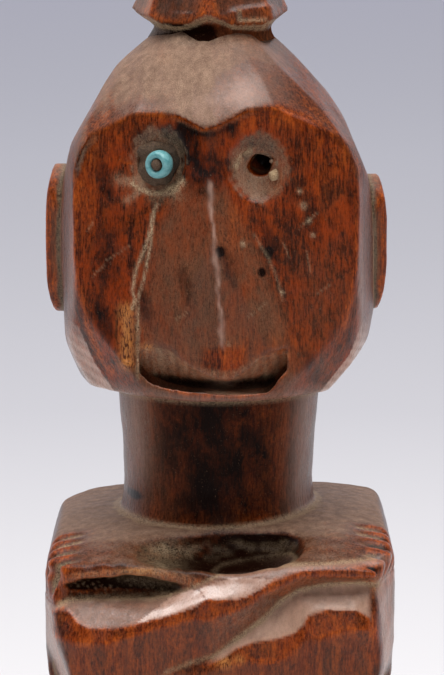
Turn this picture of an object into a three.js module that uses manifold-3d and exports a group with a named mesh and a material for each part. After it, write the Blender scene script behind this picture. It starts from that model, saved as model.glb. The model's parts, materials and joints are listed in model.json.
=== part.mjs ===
// Carved wooden ancestor figure: a large oval head with a tapered topknot, a spool neck, a square
// shouldered trunk whose forearms cross on the chest, short bent legs and a round plinth.
// One eye socket still holds a ring bead bedded in pitch, and the other holds only a rim of pitch.
// Millimetres, +Z up, the face looks along -Y, and the origin is the centre of the plinth's underside.
import * as THREE from "three";
import { ConvexGeometry } from "three/addons/geometries/ConvexGeometry.js";
import { mergeVertices } from "three/addons/utils/BufferGeometryUtils.js";
import Module from "manifold-3d";

const wasm = await Module();
wasm.setup();

// Heights
const TOTAL_HEIGHT = 190;
const PLINTH_HEIGHT = 12;
const ANKLE_Z = 19;
const HIP_Z = 53;
const WAIST_Z = 68;
const ELBOW_Z = 84;
const SHOULDER_Z = 108;
const CHIN_Z = 123;
const BROW_Z = 165.5;
const CROWN_Z = 175.6;

// Widths and depths
const PLINTH_RADIUS = 28.5;
const SHOULDER_HALF = 23.6;
const TRUNK_HALF = 17.6;
const TRUNK_FRONT = 18.7;
const TRUNK_BACK = 17.5;
const NECK_RADIUS = 14;
const HEAD_HALF = 22.3;

// Slopes, in millimetres of height for each millimetre back from the face
const SHOULDER_SLOPE = 0.1;
const JAW_SLOPE = -0.125;

// Eyes: the sockets lie in the face, either side of the nose bridge
const BEAD_EYE = new THREE.Vector3(-8.3, -19, 158.6);
const EMPTY_EYE = new THREE.Vector3(5.8, -19, 157.8);
const DISH_RADIUS = 4;
const BEAD_HOLE = 3;
const EMPTY_HOLE = 2.2;
const BEAD_RADIUS = 1.9;
const BEAD_BORE = 0.6;
const BEAD_LENGTH = 2.4;
const BEAD_TURN = 0.38;

// Arms: the plane of the chest's front, the plane where one forearm passes behind the other, and
// the back of the hands
const CHEST_FRONT = -26.4;
const ARMS_MEET = -22.7;
const HAND_BACK = -12.1;
const FINGERS = 4;

const GAP = 0.3;
const RING_POINTS = 32;

const woodMaterial = (color) =>
  new THREE.MeshStandardMaterial({ color, roughness: 0.38, metalness: 0 });
const redWood = woodMaterial(0x6b2a14);
const darkWood = woodMaterial(0x4a2214);
const dustyWood = woodMaterial(0x6e5444);
const pitchMaterial = new THREE.MeshStandardMaterial({ color: 0x3a2f26, roughness: 0.8 });
const glassMaterial = new THREE.MeshStandardMaterial({ color: 0x5fb2bd, roughness: 0.25 });

// A closed mesh's geometry as a manifold-3d solid, and back again.
function toSolid(geometry) {
  const bare = new THREE.BufferGeometry();
  const flat = geometry.index ? geometry.toNonIndexed() : geometry;
  bare.setAttribute("position", flat.getAttribute("position").clone());
  const merged = mergeVertices(bare, 1e-3);
  return new wasm.Manifold(
    new wasm.Mesh({
      numProp: 3,
      vertProperties: merged.attributes.position.array,
      triVerts: new Uint32Array(merged.index.array),
    }),
  );
}

function toGeometry(solid) {
  const mesh = solid.getMesh();
  const geometry = new THREE.BufferGeometry();
  geometry.setAttribute("position", new THREE.BufferAttribute(mesh.vertProperties, 3));
  geometry.setIndex(new THREE.BufferAttribute(mesh.triVerts, 1));
  return geometry.toNonIndexed();
}

function join(...geometries) {
  return toGeometry(geometries.map(toSolid).reduce((all, next) => all.add(next)));
}

function cut(geometry, ...tools) {
  return toGeometry(tools.map(toSolid).reduce((left, tool) => left.subtract(tool), toSolid(geometry)));
}

// A closed skin over rings of points that run anticlockwise seen from the last ring.
function loft(rings) {
  const count = rings[0].length;
  const corners = [...rings.flat(), centre(rings[0]), centre(rings.at(-1))];
  const [bottom, top] = [corners.length - 2, corners.length - 1];
  const faces = [];
  const last = (rings.length - 1) * count;
  for (let i = 0; i < count; i++) {
    const next = (i + 1) % count;
    faces.push(bottom, next, i, top, last + i, last + next);
    for (let row = 0; row < last; row += count) {
      faces.push(row + i, row + next, row + next + count);
      faces.push(row + i, row + next + count, row + i + count);
    }
  }
  const geometry = new THREE.BufferGeometry().setFromPoints(corners);
  geometry.setIndex(faces);
  return geometry.toNonIndexed();
}

function centre(points) {
  const sum = points.reduce((total, point) => total.add(point), new THREE.Vector3());
  return sum.divideScalar(points.length);
}

// A level ring shaped between an ellipse (power 2) and a rectangle (a high power). lift(x, y)
// raises each point, which gives sloping and stepped rings.
function ring({ z, x = 0, y = 0, half, front, back, power = 2.8, lift = () => 0 }) {
  const bow = (value) => Math.sign(value) * Math.abs(value) ** (2 / power);
  return Array.from({ length: RING_POINTS }, (_, i) => {
    const angle = (2 * Math.PI * i) / RING_POINTS;
    const across = half * bow(Math.cos(angle));
    const along = bow(Math.sin(angle));
    const deep = along * (along < 0 ? front : back);
    return new THREE.Vector3(x + across, y + deep, z + lift(across, deep));
  });
}

// A chip-carved convex block: the hull of the corners given as [x, y, z].
const block = (...corners) =>
  new ConvexGeometry(corners.map((corner) => new THREE.Vector3(...corner)));

// A bar of four-sided section from one [x, y, z] to another, with its long edges chamfered.
function bar(from, to, height, depth) {
  const corners = [from, to].flatMap(([x, y, z], end) => {
    const [h, d] = [height[end] / 2, depth[end] / 2];
    return [
      [x, y - d, z - h * 0.55],
      [x, y - d, z + h * 0.55],
      [x, y - d * 0.5, z + h],
      [x, y + d, z + h],
      [x, y + d, z - h],
      [x, y - d * 0.5, z - h],
    ];
  });
  return block(...corners);
}

// An upright prism of an outline in the X-Z plane, running back from the face along +Y.
function prism(shape, y, depth) {
  const geometry = new THREE.ExtrudeGeometry(shape, { depth, bevelEnabled: false, curveSegments: 8 });
  return geometry.rotateX(Math.PI / 2).translate(0, y + depth, 0);
}

// A profile of [radius, depth] turned about an axis that runs back into the face at a point.
function turned(profile, at, segments = 24) {
  const points = profile.map(([radius, depth]) => new THREE.Vector2(radius, depth));
  return new THREE.LatheGeometry(points, segments).translate(at.x, at.y, at.z);
}

function plinth() {
  const profile = [
    [0, 0],
    [PLINTH_RADIUS - 1, 0],
    [PLINTH_RADIUS, 1.4],
    [PLINTH_RADIUS, PLINTH_HEIGHT - 2],
    [PLINTH_RADIUS - 1.8, PLINTH_HEIGHT],
    [0, PLINTH_HEIGHT],
  ];
  const points = profile.map(([radius, z]) => new THREE.Vector2(radius, z));
  return new THREE.LatheGeometry(points, 48).rotateX(Math.PI / 2);
}

function foot(side) {
  const sole = PLINTH_HEIGHT + GAP;
  const top = ANKLE_Z - GAP;
  return block(
    ...[4, 16.5].flatMap((x) => [
      [side * x, 11, sole],
      [side * x, 9, top],
      [side * x, -5, top],
      [side * x, -17, sole + 3],
      [side * x, -19, sole],
    ]),
    [side * 6, -21.5, sole],
    [side * 14.5, -21.5, sole],
    [side * 6, -20, sole + 2.4],
    [side * 14.5, -20, sole + 2.4],
  );
}

function leg(side) {
  const calf = block(
    ...[5, 15].flatMap((x) => [
      [side * x, 6.5, ANKLE_Z],
      [side * x, -4.5, ANKLE_Z],
      [side * x, 9, 30],
      [side * x, -9.5, 36],
      [side * x, 5, 40],
    ]),
    [side * 17, 2, 30],
    [side * 3.5, 2, 30],
    [side * 10, 11, 29],
  );
  const thigh = block(
    ...[3, 16.5].flatMap((x) => [
      [side * x, -10.5, 35],
      [side * x, -11.5, 41],
      [side * x, 4, 37],
      [side * x, 13, HIP_Z - GAP],
      [side * x, -12, HIP_Z - GAP],
    ]),
    [side * 18.5, 0, HIP_Z - GAP],
    [side * 17.5, -4, 42],
  );
  return join(calf, thigh);
}

function hips() {
  return loft([
    ring({ z: HIP_Z, half: 18.6, front: 13.6, back: 15, power: 3.4 }),
    ring({ z: HIP_Z + 4, half: 19.4, front: 14.6, back: 16.8, power: 3.2 }),
    ring({ z: HIP_Z + 9, half: 18.6, front: 14.6, back: 16.6, power: 3.2 }),
    ring({ z: WAIST_Z - GAP, half: 16.6, front: 14, back: 14.6, power: 3.2 }),
  ]);
}

// The trunk is a squared block under a full-width shoulder slab, with a shallow pit in front of
// the neck. The arms lie on its sides and front.
function trunk() {
  const slope = (x, y) => SHOULDER_SLOPE * Math.min(y, 4);
  const core = loft([
    ring({ z: WAIST_Z, half: 16.6, front: 14.4, back: 14.6, power: 3.2 }),
    ring({ z: 78, half: TRUNK_HALF - 0.4, front: 18.2, back: 15.6, power: 3.6 }),
    ring({ z: ELBOW_Z + 4, half: TRUNK_HALF, front: TRUNK_FRONT, back: 17, power: 4.5 }),
    ring({ z: 100, half: TRUNK_HALF, front: TRUNK_FRONT, back: TRUNK_BACK, power: 5 }),
    ring({ z: SHOULDER_Z - 1, half: TRUNK_HALF, front: TRUNK_FRONT, back: 16.5, power: 5, lift: slope }),
  ]);
  const slab = loft([
    ring({ z: 99, y: 2, half: SHOULDER_HALF - 1.4, front: 13.4, back: 15, power: 5 }),
    ring({ z: 103, y: 2, half: SHOULDER_HALF, front: 13.7, back: 15.5, power: 5, lift: slope }),
    ring({ z: 106.4, y: 2, half: SHOULDER_HALF - 0.6, front: 13.7, back: 15, power: 5, lift: slope }),
    ring({ z: SHOULDER_Z, y: 2, half: SHOULDER_HALF - 2.6, front: 13.7, back: 13.6, power: 5, lift: slope }),
  ]);
  const pit = new THREE.SphereGeometry(1, 20, 12);
  pit.scale(10.5, 3.9, 4).translate(-0.5, -18.2, SHOULDER_Z - 1.6);
  return cut(join(core, slab), pit);
}

// side is -1 for the figure's right arm and +1 for its left. Each arm runs down the flank, turns at
// a heavy elbow, crosses the chest and rests its hand on the far shoulder. The right one lies in
// front, and the left one passes behind it.
function arm(side) {
  const inner = TRUNK_HALF + GAP;
  const flank = block(
    ...[
      [5.5, 98.2],
      [-11.4, 98.2],
      [-20, 97.4],
      [-20, ELBOW_Z + 1],
      [-15, ELBOW_Z],
      [2, 86],
      [6, 91],
    ].flatMap(([y, z]) => [
      [side * inner, y, z],
      [side * (SHOULDER_HALF - 0.2), y, z + (y > -20 ? 0 : 1)],
    ]),
  );
  return side < 0 ? join(flank, ...frontForearm()) : join(flank, ...backForearm());
}

// A block whose front and back faces are outlines in the X-Z plane.
const slice = (front, frontOutline, back, backOutline) =>
  block(
    ...frontOutline.map(([x, z]) => [x, front, z]),
    ...backOutline.map(([x, z]) => [x, back, z]),
  );

function frontForearm() {
  const elbow = slice(
    CHEST_FRONT,
    [[-20.8, 86.5], [-9.4, 86.6], [-2, 93.4], [-2, 100], [-13, 95.4], [-20.4, 95.2]],
    ARMS_MEET,
    [[-22.4, 84.6], [-9, 85.6], [-2, 92.6], [-1.6, 102.4], [-6, 100], [-21.6, 98.6]],
  );
  const root = slice(
    ARMS_MEET - GAP,
    [[-22.4, 84.6], [-12, 85.3], [-12, 97.6], [-21.6, 98.6]],
    -TRUNK_FRONT - GAP,
    [[-22.8, 84.2], [-12, 85], [-12, 97.8], [-22.2, 98.8]],
  );
  const wrist = slice(
    CHEST_FRONT,
    [[-2.6, 93], [3, 99.2], [8, 101.4], [16, 102.4], [16, 104.4], [7, 102.4], [-2.6, 99.8]],
    ARMS_MEET,
    [[-2.6, 92.4], [3, 98.6], [8, 101], [16, 102], [16, 105.4], [0, 104.6], [-2.6, 102]],
  );
  const middle = (CHEST_FRONT + ARMS_MEET) / 2;
  return [elbow, root, wrist, hand(-1, middle, ARMS_MEET - CHEST_FRONT, 106)];
}

function backForearm() {
  const elbow = slice(
    CHEST_FRONT,
    [[20.8, 86.5], [4, 86.6], [2.8, 91.4], [7.6, 94.2], [17.8, 95.4], [20.6, 95.4]],
    -TRUNK_FRONT - GAP,
    [[22.8, 84.4], [3, 85.6], [0.8, 91], [4.8, 96], [11, 100.6], [20.6, 101], [22.2, 99.4]],
  );
  const wrist = slice(
    ARMS_MEET + GAP,
    [[9, 95], [11, 100.4], [-15, 104.4], [-15, 99.2]],
    -TRUNK_FRONT - GAP,
    [[9, 95], [11, 100.6], [-4, 104.2], [-15, 104.4], [-15, 99]],
  );
  const [front, back] = [ARMS_MEET + GAP, -TRUNK_FRONT - GAP];
  return [elbow, wrist, hand(1, (front + back) / 2, back - front, 104.6)];
}

// The hand ends in fingers that lie side by side over the edge of the far shoulder, from the
// front of the arm back to the shoulder slab. Those behind the chest start outside the trunk.
function hand(side, middle, thickness, top) {
  const face = middle - thickness / 2;
  const pitch = (HAND_BACK - face) / FINGERS;
  const [start, end] = [-side * 15, -side * 19.5].map((x) => [x, middle, top - 3]);
  const palm = bar(start, end, [4.8, 4.6], [thickness, thickness]);
  const fingers = Array.from({ length: FINGERS }, (_, i) => {
    const front = face + i * pitch;
    const root = front + pitch > -TRUNK_FRONT ? TRUNK_HALF + GAP : 14;
    const across = [-side * root, -side * 22.4, -side * (SHOULDER_HALF + 0.2)];
    const [low, high] = [top - 4.5 + i * 0.2, top + i * 0.25];
    return block(
      ...[front, front + pitch + 0.05].flatMap((y) => [
        [across[0], y, high - 1.4],
        [across[0], y, low],
        [across[1], y, high - 0.5],
        [across[2], y, high - 2],
        [across[2], y, low],
      ]),
      ...[across[0], across[1]].map((x) => [x, front + pitch / 2, high]),
    );
  });
  return join(palm, ...fingers);
}

function neck() {
  const foot = (x, y) => 0.07 * y;
  const seat = (x, y) => JAW_SLOPE * y;
  const round = (z, radius, lift) => ring({ z, half: radius, front: radius, back: radius, power: 2, lift });
  return loft([
    round(SHOULDER_Z + 0.9, NECK_RADIUS + 0.3, foot),
    round(SHOULDER_Z + 3, NECK_RADIUS - 0.2, foot),
    round(CHIN_Z - 5, NECK_RADIUS, seat),
    round(CHIN_Z - GAP, NECK_RADIUS + 0.5, seat),
  ]);
}

// The forehead overhangs the face along a brow line of two arches that dip above the nose.
function browLine(x, y) {
  const dip = 2.2 * Math.exp(-(((x + 1.8) / 3) ** 2));
  const fall = 0.045 * Math.max(0, Math.abs(x) - 8) ** 2;
  return y < 0 ? -dip - fall : -4;
}

function head() {
  const seat = (x, y) => JAW_SLOPE * y;
  const jaw = (x, y) => JAW_SLOPE * y * 0.6;
  const skull = loft([
    ring({ z: CHIN_Z, half: 14.6, front: 16.4, back: 13.5, power: 2.2, lift: seat }),
    ring({ z: 124.8, half: 17.3, front: 18.6, back: 15.2, power: 2.4, lift: jaw }),
    ring({ z: 128.4, half: 20, front: 20, back: 17.4, power: 2.6 }),
    ring({ z: 132.8, half: 21.8, front: 20.3, back: 19.2 }),
    ring({ z: 141.5, half: HEAD_HALF, front: 20.2, back: 20.6 }),
    ring({ z: 150, half: HEAD_HALF, front: 20, back: 20.9 }),
    ring({ z: 157, x: -0.2, half: 21.5, front: 19.4, back: 20 }),
    ring({ z: BROW_Z - 1, x: -0.6, half: 19.2, front: 18.8, back: 18.2, power: 2.6, lift: browLine }),
    ring({ z: BROW_Z, x: -0.6, half: 18.8, front: 20.3, back: 17.8, power: 2.6, lift: browLine }),
    ring({ z: 167.4, x: -1, half: 16, front: 17.4, back: 15, power: 2.3 }),
    ring({ z: 171.4, x: -1.2, half: 12.4, front: 13.2, back: 11.8, power: 2.1 }),
    ring({ z: CROWN_Z - GAP, x: -1, half: 8.2, front: 8.8, back: 8.4, power: 2 }),
  ]);
  const nose = block(
    [-1.8, -19, 156.6],
    [-0.4, -18.8, 156.8],
    [-1.4, -20.9, 155],
    [-0.3, -25.4, 135],
    [1.9, -25.4, 135],
    [0.6, -25, 132.4],
    [-10.8, -18.6, 134.4],
    [9.6, -18.6, 134.4],
    [0.5, -18, 132.2],
  );
  const sockets = [socket(BEAD_EYE, BEAD_HOLE, 3.4), socket(EMPTY_EYE, EMPTY_HOLE, 7)];
  return cut(join(skull, nose), mouthSlot(), ...sockets);
}

function mouthSlot() {
  const lips = new THREE.Shape();
  lips.moveTo(-10.8, 133.4);
  lips.lineTo(-6.6, 128.6);
  lips.quadraticCurveTo(0, 126.2, 8.2, 129.4);
  lips.lineTo(9.6, 133.4);
  lips.quadraticCurveTo(0.4, 129, -10.8, 133.4);
  return prism(lips, -32, 32 - 16.6);
}

// A dished recess with a blind hole in its middle.
function socket(eye, hole, depth) {
  const profile = [
    [0, -4],
    [DISH_RADIUS, -4],
    [DISH_RADIUS, -0.6],
    [hole, hole > 2.5 ? 0.9 : 1.6],
    [hole, depth],
    [0, depth],
  ];
  return turned(profile, eye);
}

function bead() {
  const [outer, bore, half] = [BEAD_RADIUS, BEAD_BORE, BEAD_LENGTH / 2];
  const profile = [
    [bore, -half + 0.35],
    [bore + 0.3, -half],
    [outer - 0.55, -half],
    [outer, -half + 0.6],
    [outer, half - 0.6],
    [outer - 0.55, half],
    [bore + 0.3, half],
    [bore, half - 0.35],
    [bore, -half + 0.35],
  ];
  const geometry = turned(profile, new THREE.Vector3(), 20);
  return geometry.rotateZ(-BEAD_TURN).translate(BEAD_EYE.x, BEAD_EYE.y - 0.5, BEAD_EYE.z);
}

// Pitch fills the bead's socket, with a seat pressed in it for the bead.
function beadPitch() {
  const profile = [
    [0, 1.5],
    [BEAD_RADIUS + 0.4, 1.5],
    [BEAD_RADIUS + 0.5, 0.2],
    [DISH_RADIUS - 1.1, -0.3],
    [DISH_RADIUS - 0.6, -0.3],
    [BEAD_HOLE - 0.35, 0.85],
    [BEAD_HOLE - 0.35, 3],
    [0, 3],
  ];
  return turned(profile, BEAD_EYE);
}

// In the other socket only a rim of pitch is left round the empty hole.
function emptyPitch() {
  const profile = [
    [EMPTY_HOLE, 0.2],
    [DISH_RADIUS - 1, -0.8],
    [DISH_RADIUS - 0.5, -0.5],
    [EMPTY_HOLE, 1.1],
    [EMPTY_HOLE, 0.2],
  ];
  return turned(profile, EMPTY_EYE);
}

// Ears are upright crescents that stand out from the sides of the head.
function ear(side) {
  const [low, high, reach] = side < 0 ? [135.4, 156.6, 2.3] : [135.8, 155.4, 1.6];
  const inner = HEAD_HALF + GAP;
  const corners = [
    [0, -2.4, low + 1],
    [0, -3.2, low + 9],
    [0, -2, high - 1],
    [0, 4.5, low],
    [0, 6, low + 10],
    [0, 4.5, high],
    [0.7, 0.4, low],
    [1, 0.4, low + 8],
    [0.9, 1, high - 5],
    [0.4, 1.2, high],
    [1, 3.6, low + 9],
  ];
  return block(...corners.map(([out, y, z]) => [side * (inner + reach * out), y, z]));
}

// The topknot is a faceted stump, widest just above its undercut foot and tapering to a flat top.
function topknot() {
  const outline = [
    [9.9, 0.5],
    [7.4, 6.6],
    [-1, 9.2],
    [-9.6, 7.2],
    [-12.5, 1],
    [-10.4, -6.4],
    [-1.4, -9.6],
    [7, -6.8],
  ];
  const level = (z, scale, drop = 0) =>
    outline.map(([x, y], i) => new THREE.Vector3((x + 1.2) * scale - 1.2, y * scale, z - drop * (i % 2)));
  return loft([
    level(CROWN_Z, 0.72),
    level(177.4, 0.98, 0.5),
    level(178.2, 1, 0.5),
    level(184, 0.76),
    level(TOTAL_HEIGHT - 0.8, 0.57),
    level(TOTAL_HEIGHT, 0.5),
  ]);
}

const figure = new THREE.Group();

function place(name, geometry, material) {
  const mesh = new THREE.Mesh(geometry, material);
  mesh.name = name;
  geometry.computeVertexNormals();
  figure.add(mesh);
}

place("plinth", plinth(), darkWood);
for (const [word, side] of [
  ["right", -1],
  ["left", 1],
]) {
  place(`${word}_foot`, foot(side), darkWood);
  place(`${word}_leg`, leg(side), redWood);
  place(`${word}_arm`, arm(side), redWood);
  place(`${word}_ear`, ear(side), redWood);
}
place("hips", hips(), redWood);
place("trunk", trunk(), dustyWood);
place("neck", neck(), darkWood);
place("head", head(), redWood);
place("topknot", topknot(), darkWood);
place("bead_eye", bead(), glassMaterial);
place("bead_pitch", beadPitch(), pitchMaterial);
place("empty_eye_pitch", emptyPitch(), pitchMaterial);

export default figure;
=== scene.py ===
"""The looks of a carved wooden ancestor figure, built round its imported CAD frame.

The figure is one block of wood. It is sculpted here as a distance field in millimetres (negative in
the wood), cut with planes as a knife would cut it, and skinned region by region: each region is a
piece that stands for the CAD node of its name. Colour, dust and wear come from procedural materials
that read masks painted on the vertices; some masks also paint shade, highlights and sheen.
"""

import itertools
import json
import math

import bmesh
import bpy
import numpy as np
import openvdb
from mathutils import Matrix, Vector
from mathutils.geometry import delaunay_2d_cdt


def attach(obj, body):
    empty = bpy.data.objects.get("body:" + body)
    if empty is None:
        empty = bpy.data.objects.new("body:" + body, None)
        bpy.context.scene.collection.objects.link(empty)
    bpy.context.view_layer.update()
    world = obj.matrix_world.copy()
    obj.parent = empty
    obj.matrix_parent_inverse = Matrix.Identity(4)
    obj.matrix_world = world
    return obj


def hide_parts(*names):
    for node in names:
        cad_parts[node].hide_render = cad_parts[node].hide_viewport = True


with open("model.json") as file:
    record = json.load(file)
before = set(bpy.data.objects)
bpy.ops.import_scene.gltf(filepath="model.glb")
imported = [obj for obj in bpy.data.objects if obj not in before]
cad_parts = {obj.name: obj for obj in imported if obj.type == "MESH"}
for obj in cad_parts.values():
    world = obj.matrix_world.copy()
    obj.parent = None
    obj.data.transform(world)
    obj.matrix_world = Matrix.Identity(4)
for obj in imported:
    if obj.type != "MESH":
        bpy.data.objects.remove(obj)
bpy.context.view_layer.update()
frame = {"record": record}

MM = 0.001
STEP = 0.34
FAR = np.float32(9.0)


# ---------------------------------------------------------------- distance fields

class Lattice:
    """A box of sample points. x, y and z broadcast against each other to the full array."""

    def __init__(self, low, high, step):
        self.low, self.step = np.array(low, float), step
        axes = [
            (l + step * np.arange(int(math.ceil((h - l) / step)) + 1)).astype(np.float32)
            for l, h in zip(low, high)
        ]
        self.x, self.y, self.z = axes[0][:, None, None], axes[1][None, :, None], axes[2][None, None, :]
        self.shape = tuple(len(a) for a in axes)

    def full(self, values):
        return np.broadcast_to(values, self.shape).astype(np.float32)

    def sample(self, values, points):
        """Trilinear values of an array at points in millimetres."""
        place = (points - self.low) / self.step
        base = np.clip(np.floor(place).astype(int), 0, np.array(self.shape) - 2)
        part = place - base
        total = 0
        for corner in itertools.product((0, 1), repeat=3):
            weight = np.prod(np.where(corner, part, 1 - part), axis=1)
            total = total + weight * values[tuple((base + corner).T)]
        return total


def both(a, b, soft=0.3):
    """Where a and b overlap, with the edge between them worn round."""
    blend = np.maximum(soft - np.abs(a - b), 0) / soft
    return np.maximum(a, b) + blend * blend * (soft / 4)


def either(a, b, soft=0.3):
    return -both(-a, -b, soft)


def without(a, b, soft=0.3):
    return both(a, -b, soft)


def plane(at, point, normal):
    """Positive on the side the normal points to."""
    n = Vector(normal).normalized()
    return n.x * (at.x - point[0]) + n.y * (at.y - point[1]) + n.z * (at.z - point[2])


def hull(at, points, soft=0.3):
    """The convex hull of a few points, with worn edges."""
    points = np.array(points, float)
    middle = points.mean(0)
    faces = []
    for a, b, c in itertools.combinations(points, 3):
        normal = np.cross(b - a, c - a)
        size = np.linalg.norm(normal)
        if size < 1e-6:
            continue
        normal /= size
        if normal @ (middle - a) > 0:
            normal = -normal
        if ((points - a) @ normal).max() > 1e-5:
            continue
        known = any(normal @ other > 0.9999 and abs((a - spot) @ normal) < 1e-4 for other, spot in faces)
        if not known:
            faces.append((normal, a))
    field = None
    for normal, spot in faces:
        side = plane(at, spot, normal)
        field = side if field is None else both(field, side, soft)
    return field


def slab(at, front, front_outline, back, back_outline, soft=0.3):
    """The hull of an outline in the X-Z plane at one depth and another at a second depth."""
    points = [(x, front, z) for x, z in front_outline] + [(x, back, z) for x, z in back_outline]
    return hull(at, points, soft)


def ellipsoid(at, centre, radii):
    q = sum(((a - c) / r) ** 2 for a, c, r in zip((at.x, at.y, at.z), centre, radii))
    return (np.sqrt(q) - 1) * min(radii)


def bar(at, start, end, radius_start, radius_end=None):
    """A round bar whose radius changes evenly from start to end."""
    radius_end = radius_start if radius_end is None else radius_end
    a, b = np.array(start, float), np.array(end, float)
    along = b - a
    t = ((at.x - a[0]) * along[0] + (at.y - a[1]) * along[1] + (at.z - a[2]) * along[2]) / (along @ along)
    t = np.clip(t, 0, 1)
    gap = [s - (p + t * q) for s, p, q in zip((at.x, at.y, at.z), a, along)]
    return np.sqrt(sum(g * g for g in gap)) - (radius_start + t * (radius_end - radius_start))


def along(values, knots, blur=1.2):
    """A smooth curve through (place, value) knots, read at evenly spaced places."""
    flat = np.ravel(values)
    xs, ys = zip(*knots)
    step = max(flat[1] - flat[0], 1e-6)
    reach = max(1, int(round(blur / step)))
    padded = np.interp(flat[0] + step * np.arange(-reach, len(flat) + reach), xs, ys)
    kernel = np.hanning(2 * reach + 3)[1:-1]
    smooth = np.convolve(padded, kernel / kernel.sum(), mode="valid")
    return smooth.astype(np.float32).reshape(np.shape(values))


def rolling(at, size, seed):
    """A smooth random field, about -1 to 1, whose humps are size millimetres apart."""
    rng = np.random.default_rng(seed)
    shape = [int(math.ceil(n * at.step / size)) + 3 for n in at.shape]
    values = rng.uniform(-1, 1, shape)
    for axis, count in enumerate(at.shape):
        place = np.arange(count) * at.step / size + 0.5
        base = place.astype(int)
        part = place - base
        part = part * part * (3 - 2 * part)
        low = np.take(values, base, axis)
        high = np.take(values, base + 1, axis)
        form = [1, 1, 1]
        form[axis] = count
        values = low + (high - low) * part.reshape(form)
    return values.astype(np.float32)


def blurred(values, reach):
    """A box blur over 2 * reach + 1 samples each way."""
    for axis in range(3):
        pad = [(0, 0)] * 3
        pad[axis] = (reach + 1, reach)
        total = np.cumsum(np.pad(values, pad, mode="edge"), axis=axis, dtype=np.float64)
        span = 2 * reach + 1
        high = np.take(total, range(span, total.shape[axis]), axis)
        low = np.take(total, range(0, total.shape[axis] - span), axis)
        values = ((high - low) / span).astype(np.float32)
    return values


def whittle(at, field, centre, count, depth, seed, keep=None):
    """Flat knife facets all round a convex field: planes set a little inside its surface."""
    rng = np.random.default_rng(seed)
    centre = np.array(centre, float)
    slope = [g.astype(np.float32) for g in np.gradient(field, at.step)]
    for index in range(count):
        height = 1 - 2 * (index + 0.5) / count
        turn = index * math.pi * (3 - math.sqrt(5)) + rng.uniform(-0.35, 0.35)
        flat = math.sqrt(1 - height * height)
        way = np.array([flat * math.cos(turn), flat * math.sin(turn), height])
        amount = depth * rng.uniform(0.3, 1)
        if keep is not None and not keep(way):
            continue
        ray = centre + way * np.arange(2, 60, 0.1)[:, None]
        inside = np.all((ray > at.low + 1) & (ray < at.low + (np.array(at.shape) - 2) * at.step), axis=1)
        ray = ray[inside]
        values = at.sample(field, ray)
        crossing = np.argmax(values > 0)
        if values[crossing] <= 0:
            continue
        point = ray[crossing : crossing + 1]
        normal = np.array([at.sample(g, point)[0] for g in slope])
        normal /= np.linalg.norm(normal)
        field = both(field, plane(at, point[0] - normal * amount, normal), 0.15)
    return field


# ---------------------------------------------------------------- skins

PIECES = {}


def add_object(name, data):
    made = bpy.data.objects.new(name, data)
    bpy.context.scene.collection.objects.link(made)
    return made


def add_mask(data, name, values):
    attribute = data.attributes.new(name, "FLOAT", "POINT")
    attribute.data.foreach_set("value", np.clip(values, 0, 1).astype(np.float32))


def skin(at, field, name, block=None):
    """A mesh over a field's surface, kept with how convex the block is at each vertex."""
    grid = openvdb.FloatGrid(float(FAR))
    grid.copyFromArray(np.ascontiguousarray(np.clip(field, -FAR, FAR), np.float32))
    points, quads = grid.convertToQuads(0.0)[:2]
    points = points.astype(float) * at.step + at.low
    mesh = bpy.data.meshes.new(name)
    mesh.from_pydata((points * MM).tolist(), [], quads.tolist())
    mesh.validate()
    mesh.polygons.foreach_set("use_smooth", np.ones(len(mesh.polygons), bool))
    mesh.update()
    if block is not None:
        facing = np.zeros(len(points) * 3, np.float32)
        mesh.vertices.foreach_get("normal", facing)
        facing = facing.reshape(-1, 3)
        slope = np.stack([at.sample(g, points) for g in np.gradient(block, at.step)], 1)
        slope /= np.maximum(np.linalg.norm(slope, axis=1, keepdims=True), 1e-6)
        outside = np.abs(at.sample(block, points)) < 0.25
        facing[outside] = slope[outside]
        mesh.normals_split_custom_set_from_vertices(facing.tolist())
    piece = add_object(name, mesh)
    block = field if block is None else block
    reach = max(1, int(round(0.6 / at.step)))
    fine = blurred(blurred(block, reach), reach) - block
    wide = blurred(blurred(block, 3 * reach), 3 * reach) - block
    edge, bulge = at.sample(fine, points), at.sample(wide, points)
    PIECES[name] = {"piece": piece, "points": points, "edge": edge, "bulge": bulge}
    return piece


def normals(name):
    mesh = PIECES[name]["piece"].data
    out = np.zeros(len(mesh.vertices) * 3, np.float32)
    mesh.vertices.foreach_get("normal", out)
    return out.reshape(-1, 3)


# ---------------------------------------------------------------- head

CHIN = 123.3


def underside(at):
    """Height of the head's underside, which is lowest at the back of the neck."""
    return CHIN - 0.165 * np.minimum(at.y, 0) - 0.05 * np.maximum(at.y, 0) + 0.006 * at.x**2


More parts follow.
